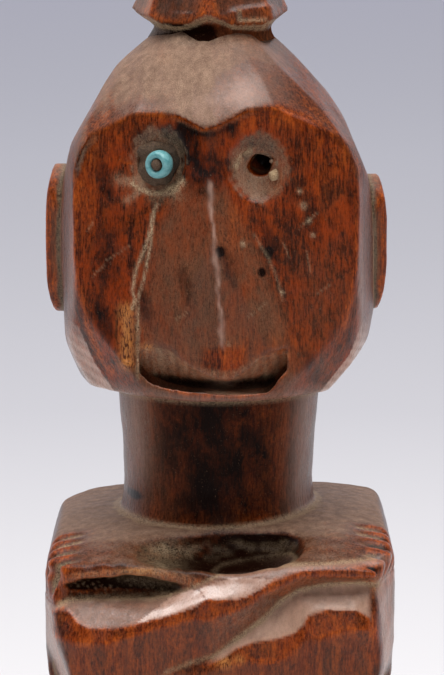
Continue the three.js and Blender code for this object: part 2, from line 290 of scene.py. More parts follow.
def skull(at):
    z = at.z
    left = along(z, [(120, 12), (123.6, 14.6), (124.3, 16.3), (125.3, 18.1), (127, 19.6), (129.2, 20.8),
                     (132.4, 21.9), (135.4, 22.5), (140, 22.9), (146, 23), (152, 22.7), (156.8, 21.7),
                     (161.8, 20.3), (166.7, 17.5), (171.6, 14), (175.8, 9.05), (180, 4)])
    right = along(z, [(120, 11), (123.6, 14.2), (124.2, 15), (126.1, 17.9), (128.5, 19.5), (130.7, 20.5),
                      (133.4, 21.3), (136.2, 21.9), (140, 22.3), (148, 22.2), (152, 21.9), (156.1, 21),
                      (161.8, 18.6), (166.7, 15.6), (171.6, 11.3), (175.8, 7.4), (180, 3)])
    front = along(z, [(120, 18), (124, 20), (126.8, 21.3), (129, 21.7), (135, 21.5), (145, 21.1),
                      (152, 20.9), (160, 20.6), (164.4, 20.5), (167, 18.9), (169.5, 16.4), (171.6, 13.8),
                      (174, 10.8), (176, 8.8), (180, 5)], 0.9)
    back = along(z, [(120, 12), (124, 14), (128, 16.8), (134, 19.6), (142, 21), (150, 21.1), (157, 20.2),
                     (163, 18.4), (168, 15.6), (172, 12), (176, 8.2), (180, 4)])
    power = along(z, [(120, 2.4), (130, 2.5), (136, 2.65), (141, 2.85), (146, 3.05), (152, 3.2), (156, 3.6),
                      (160, 3.95), (163.5, 3.7), (166, 2.9), (169, 2.3), (176, 2)])
    middle, half = (right - left) / 2, (right + left) / 2
    across = np.abs((at.x - middle) / half) ** power
    forward = np.abs(np.minimum(at.y, 0) / front) ** power
    behind = np.abs(np.maximum(at.y, 0) / back) ** power
    size = (across + forward + behind) ** (1 / power)
    return (size - 1) * np.minimum(half, np.minimum(front, back))


BROW = [(-26, 150), (-20.4, 154), (-18.3, 160.2), (-16.4, 162.6), (-12, 165.1), (-8.6, 165.4),
        (-5.9, 165.1), (-2.2, 163.5), (-0.6, 163.8), (3.4, 165.6), (6.5, 166.5), (8.4, 166.4),
        (12.2, 164.9), (15, 162.8), (17.1, 160.4), (18.9, 156.4), (19.8, 154), (25, 150)]
RIDGE = [(128, 0.9), (133.4, 0.6), (157.2, -1.4), (160, -1.6)]
NOSE_FRONT = [(120, -24.8), (132.6, -24.9), (136, -24.7), (150, -20.9), (157, -19.2), (158, -18.2)]
NOSE_LEFT = [(120, 11.2), (140.3, 11.6), (145.6, 9.8), (151.5, 7.2), (157.5, 3)]
NOSE_RIGHT = [(120, 9.4), (134.2, 9.4), (137.5, 8.9), (142.9, 7.6), (148.3, 5.6), (154, 3), (157.5, 2)]
NOSE_EDGE = [(-14, 134.1), (-10.7, 134.3), (-8.9, 134.8), (-6.8, 134.4), (-3.8, 132.5), (-1.6, 131.9),
             (0.6, 131.6), (2.3, 131.8), (3.8, 132.6), (5, 133.5), (6.3, 133.9), (9.1, 134.2),
             (12, 134.2)]
LIP = [(-12, 131.6), (-10.5, 130.8), (-9.5, 129.6), (-6.8, 128.6), (-3.9, 128), (1.4, 127.7),
       (4.4, 127.8), (6.5, 128.1), (7.4, 128.8), (8, 129.9), (8.7, 130.7), (9.4, 131.6)]
MOUTH = (-10.7, 9.15)
FACE = -18.4
LEAN = 0.085


def cheek_depth(x, z):
    return FACE - LEAN * np.clip(158 - z, -8, 30) + 0.0118 * x * x


def face_depth(at):
    """The y of the face's surface over X-Z: two cheeks that turn back from the middle, and the nose."""
    x, z = at.x, at.z
    cheek = cheek_depth(x, z) - 0.7 * np.exp(-(((x + 1.6) / 3.2) ** 2) - ((z - 160) / 6) ** 2)
    ridge = along(z, RIDGE)
    crest = along(z, NOSE_FRONT)
    off = x - ridge
    width = np.where(off < 0, along(z, NOSE_LEFT), along(z, NOSE_RIGHT))
    share = np.clip(np.abs(off) / width, 0, 1.4)
    flank = crest + (cheek_depth(width, z) - crest) * share**0.9
    flat = along(z, [(128, 1.6), (136, 1.1), (146, 0.55), (157, 0.45)])
    flank = np.maximum(flank, crest + 0.42 * flat)
    flank = flank + np.where(z > 157.2, (z - 157.2) * 1.1, 0) + 14 * np.maximum(share - 1.02, 0)
    return -both(-cheek, -flank, 0.35)


def head_block(at):
    field = skull(at)
    field = whittle(at, field, (0, 0, 150), 150, 0.3, 5, lambda way: way[1] > -0.35 or way[2] > 0.55)
    for spot, normal in (((2.6, -15, 170.2), (0.12, -0.7, 0.7)), ((-4.6, -14.6, 170.6), (-0.2, -0.68, 0.7)),
                         ((8.6, -11.4, 171.2), (0.46, -0.54, 0.71)), ((-9.6, -11, 171), (-0.5, -0.52, 0.7))):
        normal = np.array(normal) / np.linalg.norm(normal)
        ray = np.array(spot) + normal * np.arange(-4, 4, 0.05)[:, None]
        reach = ray[np.argmax(at.sample(field, ray) > 0)]
        field = both(field, plane(at, reach - normal * 0.14, normal), 0.12)
    for side, x in ((-1, 20.1), (1, 19.3)):
        field = both(field, plane(at, (side * x, -14.4, 146), (side * 0.966, -0.21, 0.01)), 0.6)
    field = both(field, plane(at, (18.4, -9, 128.8), (0.7, -0.2, -0.69)), 0.25)
    field = both(field, plane(at, (-18.9, -9, 127.2), (-0.72, -0.3, -0.62)), 1.4)
    field = both(field, plane(at, (-13.6, -17.2, 127.9), (-0.42, -0.72, -0.55)), 0.5)
    field = both(field, plane(at, (12.6, -17.4, 128.2), (0.42, -0.74, -0.52)), 0.4)
    field = both(field, plane(at, (15.6, -14.6, 130), (0.62, -0.66, -0.42)), 0.4)
    field = both(field, plane(at, (-16.6, -13.6, 130.6), (-0.7, -0.6, -0.4)), 0.5)
    field = both(field, underside(at) - at.z, 0.3)
    depth = face_depth(at)
    brow = along(at.x, BROW, 0.6)
    recess = both(at.y - depth, at.z - brow - 0.25 * (at.y + 20), 0.3)
    field = without(field, recess, 0.2)
    # mouth: a V that runs back and down from under the nose, behind a thin lip
    over = along(at.x, NOSE_EDGE, 0.5)
    lip = along(at.x, LIP, 0.4)
    start = np.take_along_axis(
        np.broadcast_to(depth, (at.shape[0], 1, at.shape[2])),
        np.clip(((over + 0.6 - at.low[2]) / at.step).round().astype(int), 0, at.shape[2] - 1),
        axis=2,
    )
    roof = over - (over - lip + 0.5) * np.maximum(at.y - start, 0) / (-16.9 - start)
    roof = roof + 0.12 * rolling(at, 2.2, 8)
    floor = lip - 0.4 * (at.y + 20.8)
    ends = both(MOUTH[0] - 0.1 * (at.y + 21) - at.x, at.x - MOUTH[1] - 0.1 * (at.y + 21), 0.05)
    notch = both(both(floor - at.z, (at.z - roof) * 0.8, 0.15), ends, 0.1)
    field = without(field, notch, 0.14)
    # eye sockets: shallow dishes, one with a hole drilled in its middle
    field = without(field, ellipsoid(at, (-8.3, -18.1, 159.5), (3.8, 1.9, 4.7)), 0.4)
    field = without(field, ellipsoid(at, (5.45, -18.6, 158.6), (4.15, 1.9, 4.8)), 0.4)
    field = without(field, bar(at, (-8.3, -21, 158.9), (-8.3, -15.6, 158.9), 2.6), 0.3)
    wobble = 0.3 * rolling(at, 1.5, 3)
    field = without(field, bar(at, (4.9, -22, 158.3), (5.9, -13.6, 158.9), 1.95, 1.5) + wobble, 0.25)
    # a chip and a split down the cheek
    chip_front = cheek_depth(-12.6, 135.2) - 0.15
    chip = ellipsoid(at, (-12.6, chip_front, 135.2), (1, 0.55, 4.5)) + 0.14 * rolling(at, 0.8, 21)
    field = without(field, chip, 0.1)
    split = [(-8.6, 153.3), (-9, 152), (-9.5, 149.6), (-10.1, 146.6), (-11.3, 143), (-11.8, 140.4)]
    for a, b in zip(split, split[1:]):
        ends = [(x, cheek_depth(x, z) - 0.2, z) for x, z in (a, b)]
        field = without(field, bar(at, *ends, 0.22), 0.1)
    for spot, size in (((6.6, -20.2, 147), 0.4), ((5.8, -20.9, 144.4), 0.4), ((0, -21.9, 147.4), 0.34),
                       ((10.6, -18.9, 152.6), 0.25), ((12.2, -18.4, 150.4), 0.25)):
        field = without(field, ellipsoid(at, spot, (size, size, size * 1.4)), 0.1)
    return field


def ear_field(at, side):
    """An upright flange with a gouged groove along it."""
    low, high, reach = (135.6, 156.8, 24.65) if side < 0 else (136, 155.4, 23.75)
    mid, half = (low + high) / 2, (high - low) / 2
    up = (at.z - mid) / half
    body = (np.sqrt(up * up + ((at.y - 1.6) / 4.8) ** 2) - 1) * 4.8
    outer = side * at.x - (reach - 1.2 * np.abs(up) ** 3)
    field = both(body, outer, 0.35)
    field = both(field, 20.5 - side * at.x, 0.2)
    field = both(field, plane(at, (side * (reach - 0.25), -1.7, mid), (side * 0.5, -0.86, 0)), 0.2)
    groove = (np.sqrt(((at.z - mid) / (half * 0.74)) ** 2 + ((at.y - 2.6) / 2.2) ** 2) - 1) * 2.2
    groove = both(groove, reach - 0.9 - side * at.x, 0.3)
    return without(field, groove, 0.4)


def make_head():
    at = Lattice((-26.4, -27.6, 120), (26.4, 23.4, 178), STEP)
    block = head_block(at)
    # a shallow stop cut in front of each ear
    for side, x in ((-1, 23.4), (1, 22.7)):
        block = without(block, bar(at, (side * (x - 0.3), -3.4, 137), (side * (x - 0.3), -3.4, 155), 0.5),
                        0.3)
    rough = 0.05 * rolling(at, 3.1, 11) + 0.03 * rolling(at, 1.2, 12)
    block = block + rough
    ears = [ear_field(at, side) + rough for side in (-1, 1)]
    whole = np.minimum(block, np.minimum(*ears))
    skin(at, both(block, at.z - 176.2, 0.05), "head", whole)
    skin(at, ears[0], "right_ear", whole)
    skin(at, ears[1], "left_ear", whole)


# ---------------------------------------------------------------- topknot

def make_topknot():
    at = Lattice((-15, -12.4, 173.4), (13, 12.4, 191.4), STEP)
    field = None
    outline = [(9.9, 0.5), (7.2, 6.6), (-1, 9.2), (-9.6, 7.2), (-12.6, 1.4), (-9.8, -5.6), (-1.5, -9.5),
               (7.1, -6.1)]
    tilt = [20, 24, 22, 24, 22, 21, 20, 24]
    for index, (a, b) in enumerate(zip(outline, outline[1:] + outline[:1])):
        run = np.array([b[0] - a[0], b[1] - a[1]])
        out = np.array([run[1], -run[0]]) / np.linalg.norm(run)
        if out @ np.array([a[0] + 1.2, a[1]]) < 0:
            out = -out
        lean = math.radians(tilt[index])
        side = plane(at, (a[0], a[1], 178.4), (out[0] * math.cos(lean), out[1] * math.cos(lean),
                                               math.sin(lean)))
        field = side if field is None else both(field, side, 0.25)
    field = both(field, at.z - 189.9 + 0.05 * at.x, 0.4)
    # a scalloped lower edge, bevelled under
    foot = along(at.x, [(-14, 178.6), (-9.7, 178.1), (-8, 177.5), (-5.2, 177.35), (-3.4, 177.7),
                        (-1.6, 178.5), (0.2, 177.9), (1.8, 177.2), (6, 176.9), (10, 178.4), (13, 179.4)],
                 0.5)
    foot = foot - 0.35 * np.clip((-3 - at.x) / 3, 0, 1) + 0.1 * rolling(at, 2.6, 31)
    reach = np.sqrt((at.x + 1.2) ** 2 + at.y**2)
    bevel = along(at.x, [(-14, 0.62), (-6, 0.5), (0, 0.35), (13, 0.35)], 1)
    field = both(field, (foot - bevel * (9.8 - reach) - at.z) * 0.9, 0.12)
    stem = reach - along(at.z, [(172, 11.4), (175.2, 8.6), (176.4, 7.9), (177.2, 8), (179, 9)], 0.4)
    stem = both(stem, at.z - 178.6, 0.3)
    field = either(field, stem, 0.3)
    root = hull(at, [(1.8, -8, 178.8), (7.2, -5.6, 179.4), (1.6, -7, 174.6), (6.4, -5.2, 174.6),
                     (7.4, 0, 179), (0, 0, 178), (0, 0, 174.6), (7, 0, 174.6)], 0.5)
    field = either(field, root, 1.1)
    for cut in ([(2.6, 178.9), (2.9, 178.9), (2.9, 177.6), (2.6, 177.6)],
                [(2.6, 177.9), (6.3, 177.9), (6.3, 177.55), (2.6, 177.5)]):
        field = without(field, slab(at, -13, cut, -7.6, cut, 0.1), 0.15)
    field = field + 0.06 * rolling(at, 2.4, 32) + 0.035 * rolling(at, 1, 33)
    skin(at, both(field, 174.6 - at.z, 0.05), "topknot", field)


# ---------------------------------------------------------------- neck, trunk and arms

def shoulder_top(at):
    front, rear = np.minimum(at.y, 0), np.maximum(at.y, 0)
    drop = 0.04 * np.maximum(-at.y - 16, 0) ** 1.5
    return 108.3 + 0.03 * at.x - 1.5 * (at.x / 23) ** 4 - 0.0045 * front**2 - 0.045 * rear - drop


def neck_field(at):
    left = along(at.z, [(104, 15), (107.6, 14.3), (109, 13.9), (112, 13.7), (118, 13.9), (122, 14.3),
                        (127, 14.6)], 0.7)
    right = along(at.z, [(104, 14.6), (107.6, 13.9), (109.4, 13.5), (112, 13.3), (118, 13.6), (122, 14),
                         (127, 14.4)], 0.7)
    middle, half = (right - left) / 2, (right + left) / 2
    field = np.sqrt((at.x - middle) ** 2 + at.y**2) - half
    # long upright knife facets
    slack = along(at.z, [(106, 2.5), (110, 0.5), (115, 0.2), (120, 0.5), (125, 1.2), (127, 2.5)], 1.2)
    for index in range(17):
        turn = index * 2 * math.pi / 17 + 0.13 * math.sin(5.0 * index)
        way = (math.cos(turn), math.sin(turn), 0.015 * math.sin(3.0 * index))
        field = np.maximum(field, plane(at, (way[0] * 13.6, way[1] * 13.6, 115), way) - slack)
    return field


def relief(at, lines):
    """The y over X-Z of facets whose edges are the given lines of (x, z, y)."""
    flat, deep, edges = [], [], []
    for line in lines:
        edges += [(len(flat) + i, len(flat) + i + 1) for i in range(len(line) - 1)]
        flat += [Vector((x, z)) for x, z, _ in line]
        deep += [y for _, _, y in line]
    corners, _, faces, source, _, _ = delaunay_2d_cdt(flat, edges, [], 0, 1e-4)
    depth = []
    for corner, origin in zip(corners, source):
        if origin:
            depth.append(deep[origin[0]])
        else:
            near = sorted(range(len(flat)), key=lambda i: (flat[i] - corner).length)[:2]
            depth.append(sum(deep[i] for i in near) / 2)
    xs, zs = np.ravel(at.x), np.ravel(at.z)
    out = np.zeros((len(xs), len(zs)), np.float32)
    for face in faces:
        (ax, az), (bx, bz), (cx, cz) = (corners[i] for i in face)
        columns = np.flatnonzero((xs >= min(ax, bx, cx) - at.step) & (xs <= max(ax, bx, cx) + at.step))
        rows = np.flatnonzero((zs >= min(az, bz, cz) - at.step) & (zs <= max(az, bz, cz) + at.step))
        area = (bx - ax) * (cz - az) - (cx - ax) * (bz - az)
        if not len(columns) or not len(rows) or abs(area) < 1e-9:
            continue
        x, z = xs[columns][:, None], zs[rows][None, :]
        v = ((x - ax) * (cz - az) - (cx - ax) * (z - az)) / area
        w = ((bx - ax) * (z - az) - (x - ax) * (bz - az)) / area
        u = 1 - v - w
        inside = np.minimum(np.minimum(u, v), w) > -1e-5
        values = u * depth[face[0]] + v * depth[face[1]] + w * depth[face[2]]
        block = out[columns[0] : columns[-1] + 1, rows[0] : rows[-1] + 1]
        block[inside] = values[inside]
    return out[:, None, :]


def raised(at, depth):
    """A field from a relief: positive in front of it."""
    across, up = np.gradient(depth[:, 0, :], at.step)
    steep = np.sqrt(1 + np.minimum(across**2 + up**2, 9))
    steep = blurred(steep[:, None, :], 1)
    return (depth - at.y) / steep


def within(x, z, points):
    """Which places lie inside a closed outline over X-Z."""
    inside = False
    for (ax, az), (bx, bz) in zip(points, points[1:] + points[:1]):
        crosses = x < (bx - ax) * (z - az) / ((bz - az) or 1e-9) + ax
        inside = inside ^ (((az > z) != (bz > z)) & crosses)
    return inside


def outline(at, points):
    """Signed distance over X-Z to a closed outline."""
    x, z = at.x[:, 0, :], at.z[0, :, :]
    gap = np.full(np.broadcast_shapes(x.shape, z.shape), 1e9, np.float32)
    for (ax, az), (bx, bz) in zip(points, points[1:] + points[:1]):
        dx, dz = bx - ax, bz - az
        t = np.clip(((x - ax) * dx + (z - az) * dz) / (dx * dx + dz * dz), 0, 1)
        gap = np.minimum(gap, np.hypot(x - ax - t * dx, z - az - t * dz))
    return np.where(within(x, z, points), -gap, gap)[:, None, :]


# The front of the crossed arms, as lines of (x, z, y) from left to right.
BACK_EDGE = [(-24.4, 98, -16), (-23.2, 98.3, -20), (-22, 98.6, -21.2), (-20.5, 99.2, -21.4),
             (-16.4, 99.5, -21.5), (-13, 99.4, -21.5), (-9.5, 99.6, -21.6), (-7, 100.2, -22.4),
             (-4.7, 101, -23.2), (0.3, 103.3, -23.9), (9.9, 104.7, -24.2), (19.6, 105.1, -24.3),
             (21.4, 105.1, -23.9)]
FACET_EDGE = [(-19.6, 98.6, -22.4), (-12.4, 97.9, -24.5), (-8.6, 98.9, -24.4), (-4.6, 100.4, -24.2),
              (-3, 101.2, -23.9), (-0.7, 102, -24), (2.4, 102.8, -24.1), (5.6, 102.9, -24.9),
              (7.2, 103.2, -25)]
ARRIS = [(-23.2, 97.6, -21.8), (-22.4, 98, -22.9), (-21.3, 98.5, -22.8), (-20.3, 97.9, -23.9),
         (-19.5, 96.9, -24.8), (-17.9, 96.2, -25.4), (-14.2, 96.2, -25.6), (-11.9, 96.7, -25.8),
         (-5.1, 98.9, -25.8), (-2, 100.3, -25.7), (1.3, 100.4, -25.9), (3.6, 100.8, -25.9),
         (7.4, 102.8, -25.3), (11.4, 104.2, -25), (14.3, 104.4, -24.9), (20.4, 104.5, -24.8),
         (21.6, 104.3, -24.4)]
BAND_FOOT = [(-22.9, 94.6, -22.8), (-21.9, 94.4, -24.6), (-19.8, 94, -25.9), (-18.2, 94.3, -26.1),
             (-15.5, 94.2, -26.3), (-9.6, 96.2, -26.4), (-3.8, 97.7, -26.4), (-1.5, 97.6, -26.5),
             (1.4, 98.6, -26.5), (3.9, 99.5, -26.4), (5.7, 101, -26.1), (8.4, 102.1, -25.8),
             (10.9, 103.4, -25.3), (20.8, 103.3, -25.1), (21.9, 103, -24.4)]
CREASE = [(-14, 82.5, -25.9), (-7.1, 90.1, -25.6), (-3.8, 91.4, -25.4), (-0.8, 92.2, -25.1),
          (2.2, 94.4, -24.7), (6.2, 97.3, -24), (8.5, 99.5, -23.2), (10.9, 100.9, -22.9),
          (13.7, 101.5, -22.8), (16.1, 101.8, -22.7), (19.3, 101.9, -22.6), (21.6, 101.6, -22.4)]
LEFT_EDGE = [(-2.2, 90.9, -25.8), (0.6, 92.2, -25.9), (2.2, 93.5, -25.9), (4.6, 94.4, -25.9),
             (7.8, 94.9, -25.9), (10.4, 95.7, -25.7), (11.5, 96.9, -25.5), (12.2, 98, -25.3),
             (14.7, 98.8, -25.1), (18.7, 98.7, -25.1), (20.3, 97.7, -24.9), (21.5, 95.8, -24.4)]
GLOSS_EDGE = [(12.5, 98.7, -24.9), (13.9, 99.8, -23.8), (16.1, 100.4, -23.2), (18, 100.6, -23.1),
              (18.7, 98.9, -24.9)]
LEFT_FOOT = [(-2.6, 90.2, -26.1), (0.8, 91.3, -26.3), (3.9, 91.8, -26.5), (7.1, 91.6, -26.5),
             (9.2, 92.4, -26.5), (10.5, 93.8, -26.4), (11.7, 95.4, -26.2), (14.4, 95.1, -26.2),
             (16.1, 95.6, -26.1), (18.7, 96, -25.9), (20.4, 95.8, -25.6), (21.6, 94.4, -24.8)]
FRONT_LOW = [(-20.4, 88, -25.4), (-19, 84.6, -25.3), (-14, 83.9, -25.7), (-4, 84.2, -26.3),
             (6, 84.2, -26.4), (15, 84.4, -26.1), (19.8, 85, -25.6)]
UNDER_ARMS = [(-24.8, 83.4, -14), (-19, 83.2, -18.6), (-8, 83, -19.6), (8, 83.2, -19.6),
              (19, 83.4, -18.6), (24.8, 84, -14)]
BELLY = [(-24.8, 78, -10), (-17, 76, -15), (-6, 76, -18.6), (6, 76, -18.6), (17, 76, -15), (24.8, 78, -10)]
WAIST = [(-24.8, 64, -9), (-15, 66, -12.4), (0, 66, -14.6), (15, 66, -12.4), (24.8, 64, -9)]
STRIP_LEFT = [(-23.4, 101.6, -20.4), (-22.9, 98.7, -21.8), (-22.7, 96.3, -23), (-22.1, 93.7, -24),
              (-21.4, 91.8, -24.3), (-20.4, 88.2, -24.6), (-19.4, 84.8, -24.6)]
STRIP_RIGHT = [(22.4, 103, -22.6), (21.4, 101, -23), (21.8, 98.8, -23.8), (21.9, 96, -24.2),
               (22.4, 92.3, -24.2), (22.2, 89.1, -24.3), (20.8, 85, -24.4)]
SIDE_LEFT = [(-24.8, 102, -13), (-24.6, 97, -14), (-24.5, 91, -14), (-23.2, 87.5, -14.5), (-22, 85, -15)]
SIDE_RIGHT = [(25, 102, -13), (24.9, 97, -14), (24.8, 91, -14), (23.9, 88, -14.5), (22.6, 85, -15)]
ROLL_TOP = [(-24.6, 101.9, -16.5), (-23, 102.4, -20), (-21, 103, -22), (-19.4, 103.3, -22.6),
            (-15.3, 103.8, -22.9), (-10.5, 104.1, -23), (-8, 103.9, -23.1), (-2, 102.6, -23.6)]
ROLL_FOOT = [(-22.2, 101.2, -21.4), (-20.4, 101.9, -23), (-19.1, 102.5, -23.3), (-15.3, 102.5, -23.4),
             (-12.9, 102.8, -23.4), (-10.5, 102.8, -23.4), (-5.5, 101.8, -23.5), (-3.3, 101.6, -23.5)]
CREVICE_TOP = [(-20.2, 101.4, -21.6), (-18.6, 102, -21), (-15.3, 102.1, -20.6), (-12.9, 102.4, -20.4),
               (-10.5, 102.3, -20.4), (-8, 101.9, -20.7), (-5.5, 101.4, -22)]
CREVICE_FOOT = [(-21.2, 99.6, -21.2), (-16.4, 100.3, -20.5), (-13, 100.1, -20.3), (-9.7, 100.2, -20.4),
                (-7.4, 100.6, -21.4)]
SLAB_FRONT = [(-25, 104.6, -17), (-23.4, 105, -21.2), (-18, 105.4, -22.4), (-8, 105.4, -22.6),
              (0, 105.4, -23), (8, 106.2, -23.4), (20, 106.4, -23.2), (23.4, 106, -21.8),
              (25, 104.6, -16)]
SLAB_ABOVE = [(-25, 111, -20), (0, 111, -22.6), (25, 111, -20)]
ARM_LINES = [BACK_EDGE, FACET_EDGE, ARRIS, BAND_FOOT, CREASE, LEFT_EDGE, GLOSS_EDGE, LEFT_FOOT, FRONT_LOW,
             UNDER_ARMS, BELLY, WAIST, STRIP_LEFT, STRIP_RIGHT, SIDE_LEFT, SIDE_RIGHT, ROLL_TOP,
             ROLL_FOOT, CREVICE_TOP, CREVICE_FOOT, SLAB_FRONT, SLAB_ABOVE]


def finger_cuts(at, side):
    """Depth of the V cuts that part the fingers laid over the shoulder's edge."""
    front, pitch, low = (-22.9, 2.55, 99.2) if side < 0 else (-23.6, 2.7, 101.9)
    x = side * at.x
    fade = np.clip((x - 18.6) / 2.6, 0, 1) * np.clip((at.z - low) / 0.8, 0, 1)
    place = (at.y - front + 0.06 * (22 - x) * (side < 0)) / pitch
    off = np.abs(place - np.round(place)) * pitch
    active = (place > -0.4) & (place < 4.4)
    return np.where(active, np.maximum(0, 0.95 - off * 1.15), 0) * fade


def make_torso():
    at = Lattice((-26.4, -28.8, 65), (26.4, 19.8, 127.2), STEP)
    front = raised(at, blurred(relief(at, ARM_LINES), 1))
    # sides: upper arms hang beside the body down to the elbows
    side_left = along(at.z, [(64, 24.2), (84, 23.4), (86.7, 24.1), (92, 24.5), (101.9, 24.35),
                             (104, 23.8), (106, 22.9), (110, 21)], 0.9)
    side_right = along(at.z, [(64, 24.2), (84, 23.6), (86.4, 24.3), (92, 24.6), (101.4, 24.6), (104, 24.4),
                              (106.4, 23.6), (110, 21.6)], 0.9)
    sides = both(-side_left - at.x, at.x - side_right, 0.2)
    rear = at.y - along(at.z, [(64, 14.4), (74, 15), (86, 16.4), (98, 17.2), (104, 17.2), (108, 16.4),
                               (112, 15)], 1)
    block = both(both(sides, rear, 0.6), front, 0.35)
    for side in (-1, 1):
        block = both(block, plane(at, (side * 21.4, 14.6, 100), (side * 0.72, 0.69, 0.03)), 0.8)
    block = both(block, plane(at, (0, 17, 98), (0.1, 0.98, 0.16)), 0.4)
    block = both(block, plane(at, (4, 16.6, 88), (-0.06, 0.99, -0.05)), 0.4)
    # under the shoulder slab the body is narrower behind the arms
    for side in (-1, 1):
        x = side * at.x
        behind = both(both(at.z - 99.4 - 0.1 * (x - 18), 17.4 - x, 0.5), 7.2 - at.y - 0.1 * (at.z - 90), 0.5)
        block = without(block, behind, 0.6)
        below = both(at.z - 84 - 0.08 * (at.y + 10), 17.2 - 0.05 * np.abs(at.z - 76) - x, 0.5)
        block = without(block, below, 0.6)
        groove = bar(at, (side * 17.6, 7, 99), (side * 17.6, 7, 84), 0.8)
        block = without(block, groove, 0.4)
    block = both(block, at.z - shoulder_top(at), 0.8)
    # the pit in front of the neck
    pit = ellipsoid(at, (1.6, -20.6, 107.2), (10.2, 5.8, 4.4))
    pit = either(pit, ellipsoid(at, (-7.6, -21.2, 107.4), (6, 5, 3.3)), 1.8)
    pit = either(pit, ellipsoid(at, (6.4, -19, 106.9), (4.8, 3.5, 3.3)), 1)
    pit = pit + 0.12 * rolling(at, 4.2, 42) + 0.12 * rolling(at, 1.2, 43)
    block = without(block, both(pit, at.y + 14.8 + 0.1 * (107 - at.z), 0.3), 1.2)
    for side in (-1, 1):
        block = block + finger_cuts(at, side)
    slot = ellipsoid(at, (-12.5, -21, 101.6), (10, 4.5, 3))
    coarse = 0.22 * rolling(at, 1.6, 53) + 0.12 * rolling(at, 0.8, 54)
    rough = 0.06 * rolling(at, 3.4, 51) + 0.04 * rolling(at, 1.3, 52) + coarse * np.clip(0.8 - slot, 0, 1)
    neck = neck_field(at) + 0.6 * rough
    block = either(block + rough, neck, 0.5)
    # which parts of the block are arms
    right_region = np.maximum(outline(at, [(-26, 98), *((x, z) for x, z, _ in BACK_EDGE[1:]),
                                           (22.2, 105.1), (22.2, 102),
                                           *((x, z) for x, z, _ in reversed(CREASE)), (-26, 82)]), at.y
                              + 17.5)
    right_region = np.minimum(right_region, np.maximum(np.maximum(at.x + 17.5, at.z - 98.6), at.y - 8))
    hand = np.maximum(np.maximum(14.5 - at.x, 101.9 - at.z), np.maximum(at.y + 11, -30 - at.y))
    right_region = np.minimum(right_region, hand)
    left_region = np.maximum(outline(at, [*((x, z) for x, z, _ in CREASE), (27, 101.4), (27, 82)]), at.y
                             + 17.5)
    left_region = np.minimum(left_region, np.maximum(np.maximum(17.5 - at.x, at.z - 101.9), at.y - 8))
    roll = outline(at, [(x, z) for x, z, _ in ROLL_TOP[1:]] + [(-2.4, 101.7)] +
                   [(x, z) for x, z, _ in reversed(ROLL_FOOT)])
    left_region = np.minimum(left_region, np.maximum(roll, at.y + 18))
    hand = np.maximum(np.maximum(14.5 + at.x, 98.8 - at.z), np.maximum(at.y + 10, -30 - at.y))
    left_region = np.minimum(left_region, hand)
    left_region = np.maximum(left_region, 0.05 - right_region)
    arms = np.minimum(left_region, right_region)
    trunk_foot = 68.2
    left_region, right_region = (np.maximum(region, 80 - at.z) for region in (left_region, right_region))
    skin(at, np.maximum(block, right_region), "right_arm", block)
    skin(at, np.maximum(block, left_region), "left_arm", block)
    hidden = block + 0.06 * np.clip((0.5 - arms) / 0.5, 0, 1)
    collar = shoulder_top(at) + 0.3
    body = np.maximum(hidden, -arms - 0.4)
    skin(at, np.maximum(np.maximum(body, at.z - collar), trunk_foot - at.z), "trunk", block)
    ring = np.clip((collar - at.z) / 0.4, 0, 1)
    skin(at, np.maximum(np.maximum(block + 0.05 * ring, collar - 0.4 - at.z), at.z - underside(at) - 0.4),
         "neck", block)


# ---------------------------------------------------------------- legs, feet and plinth

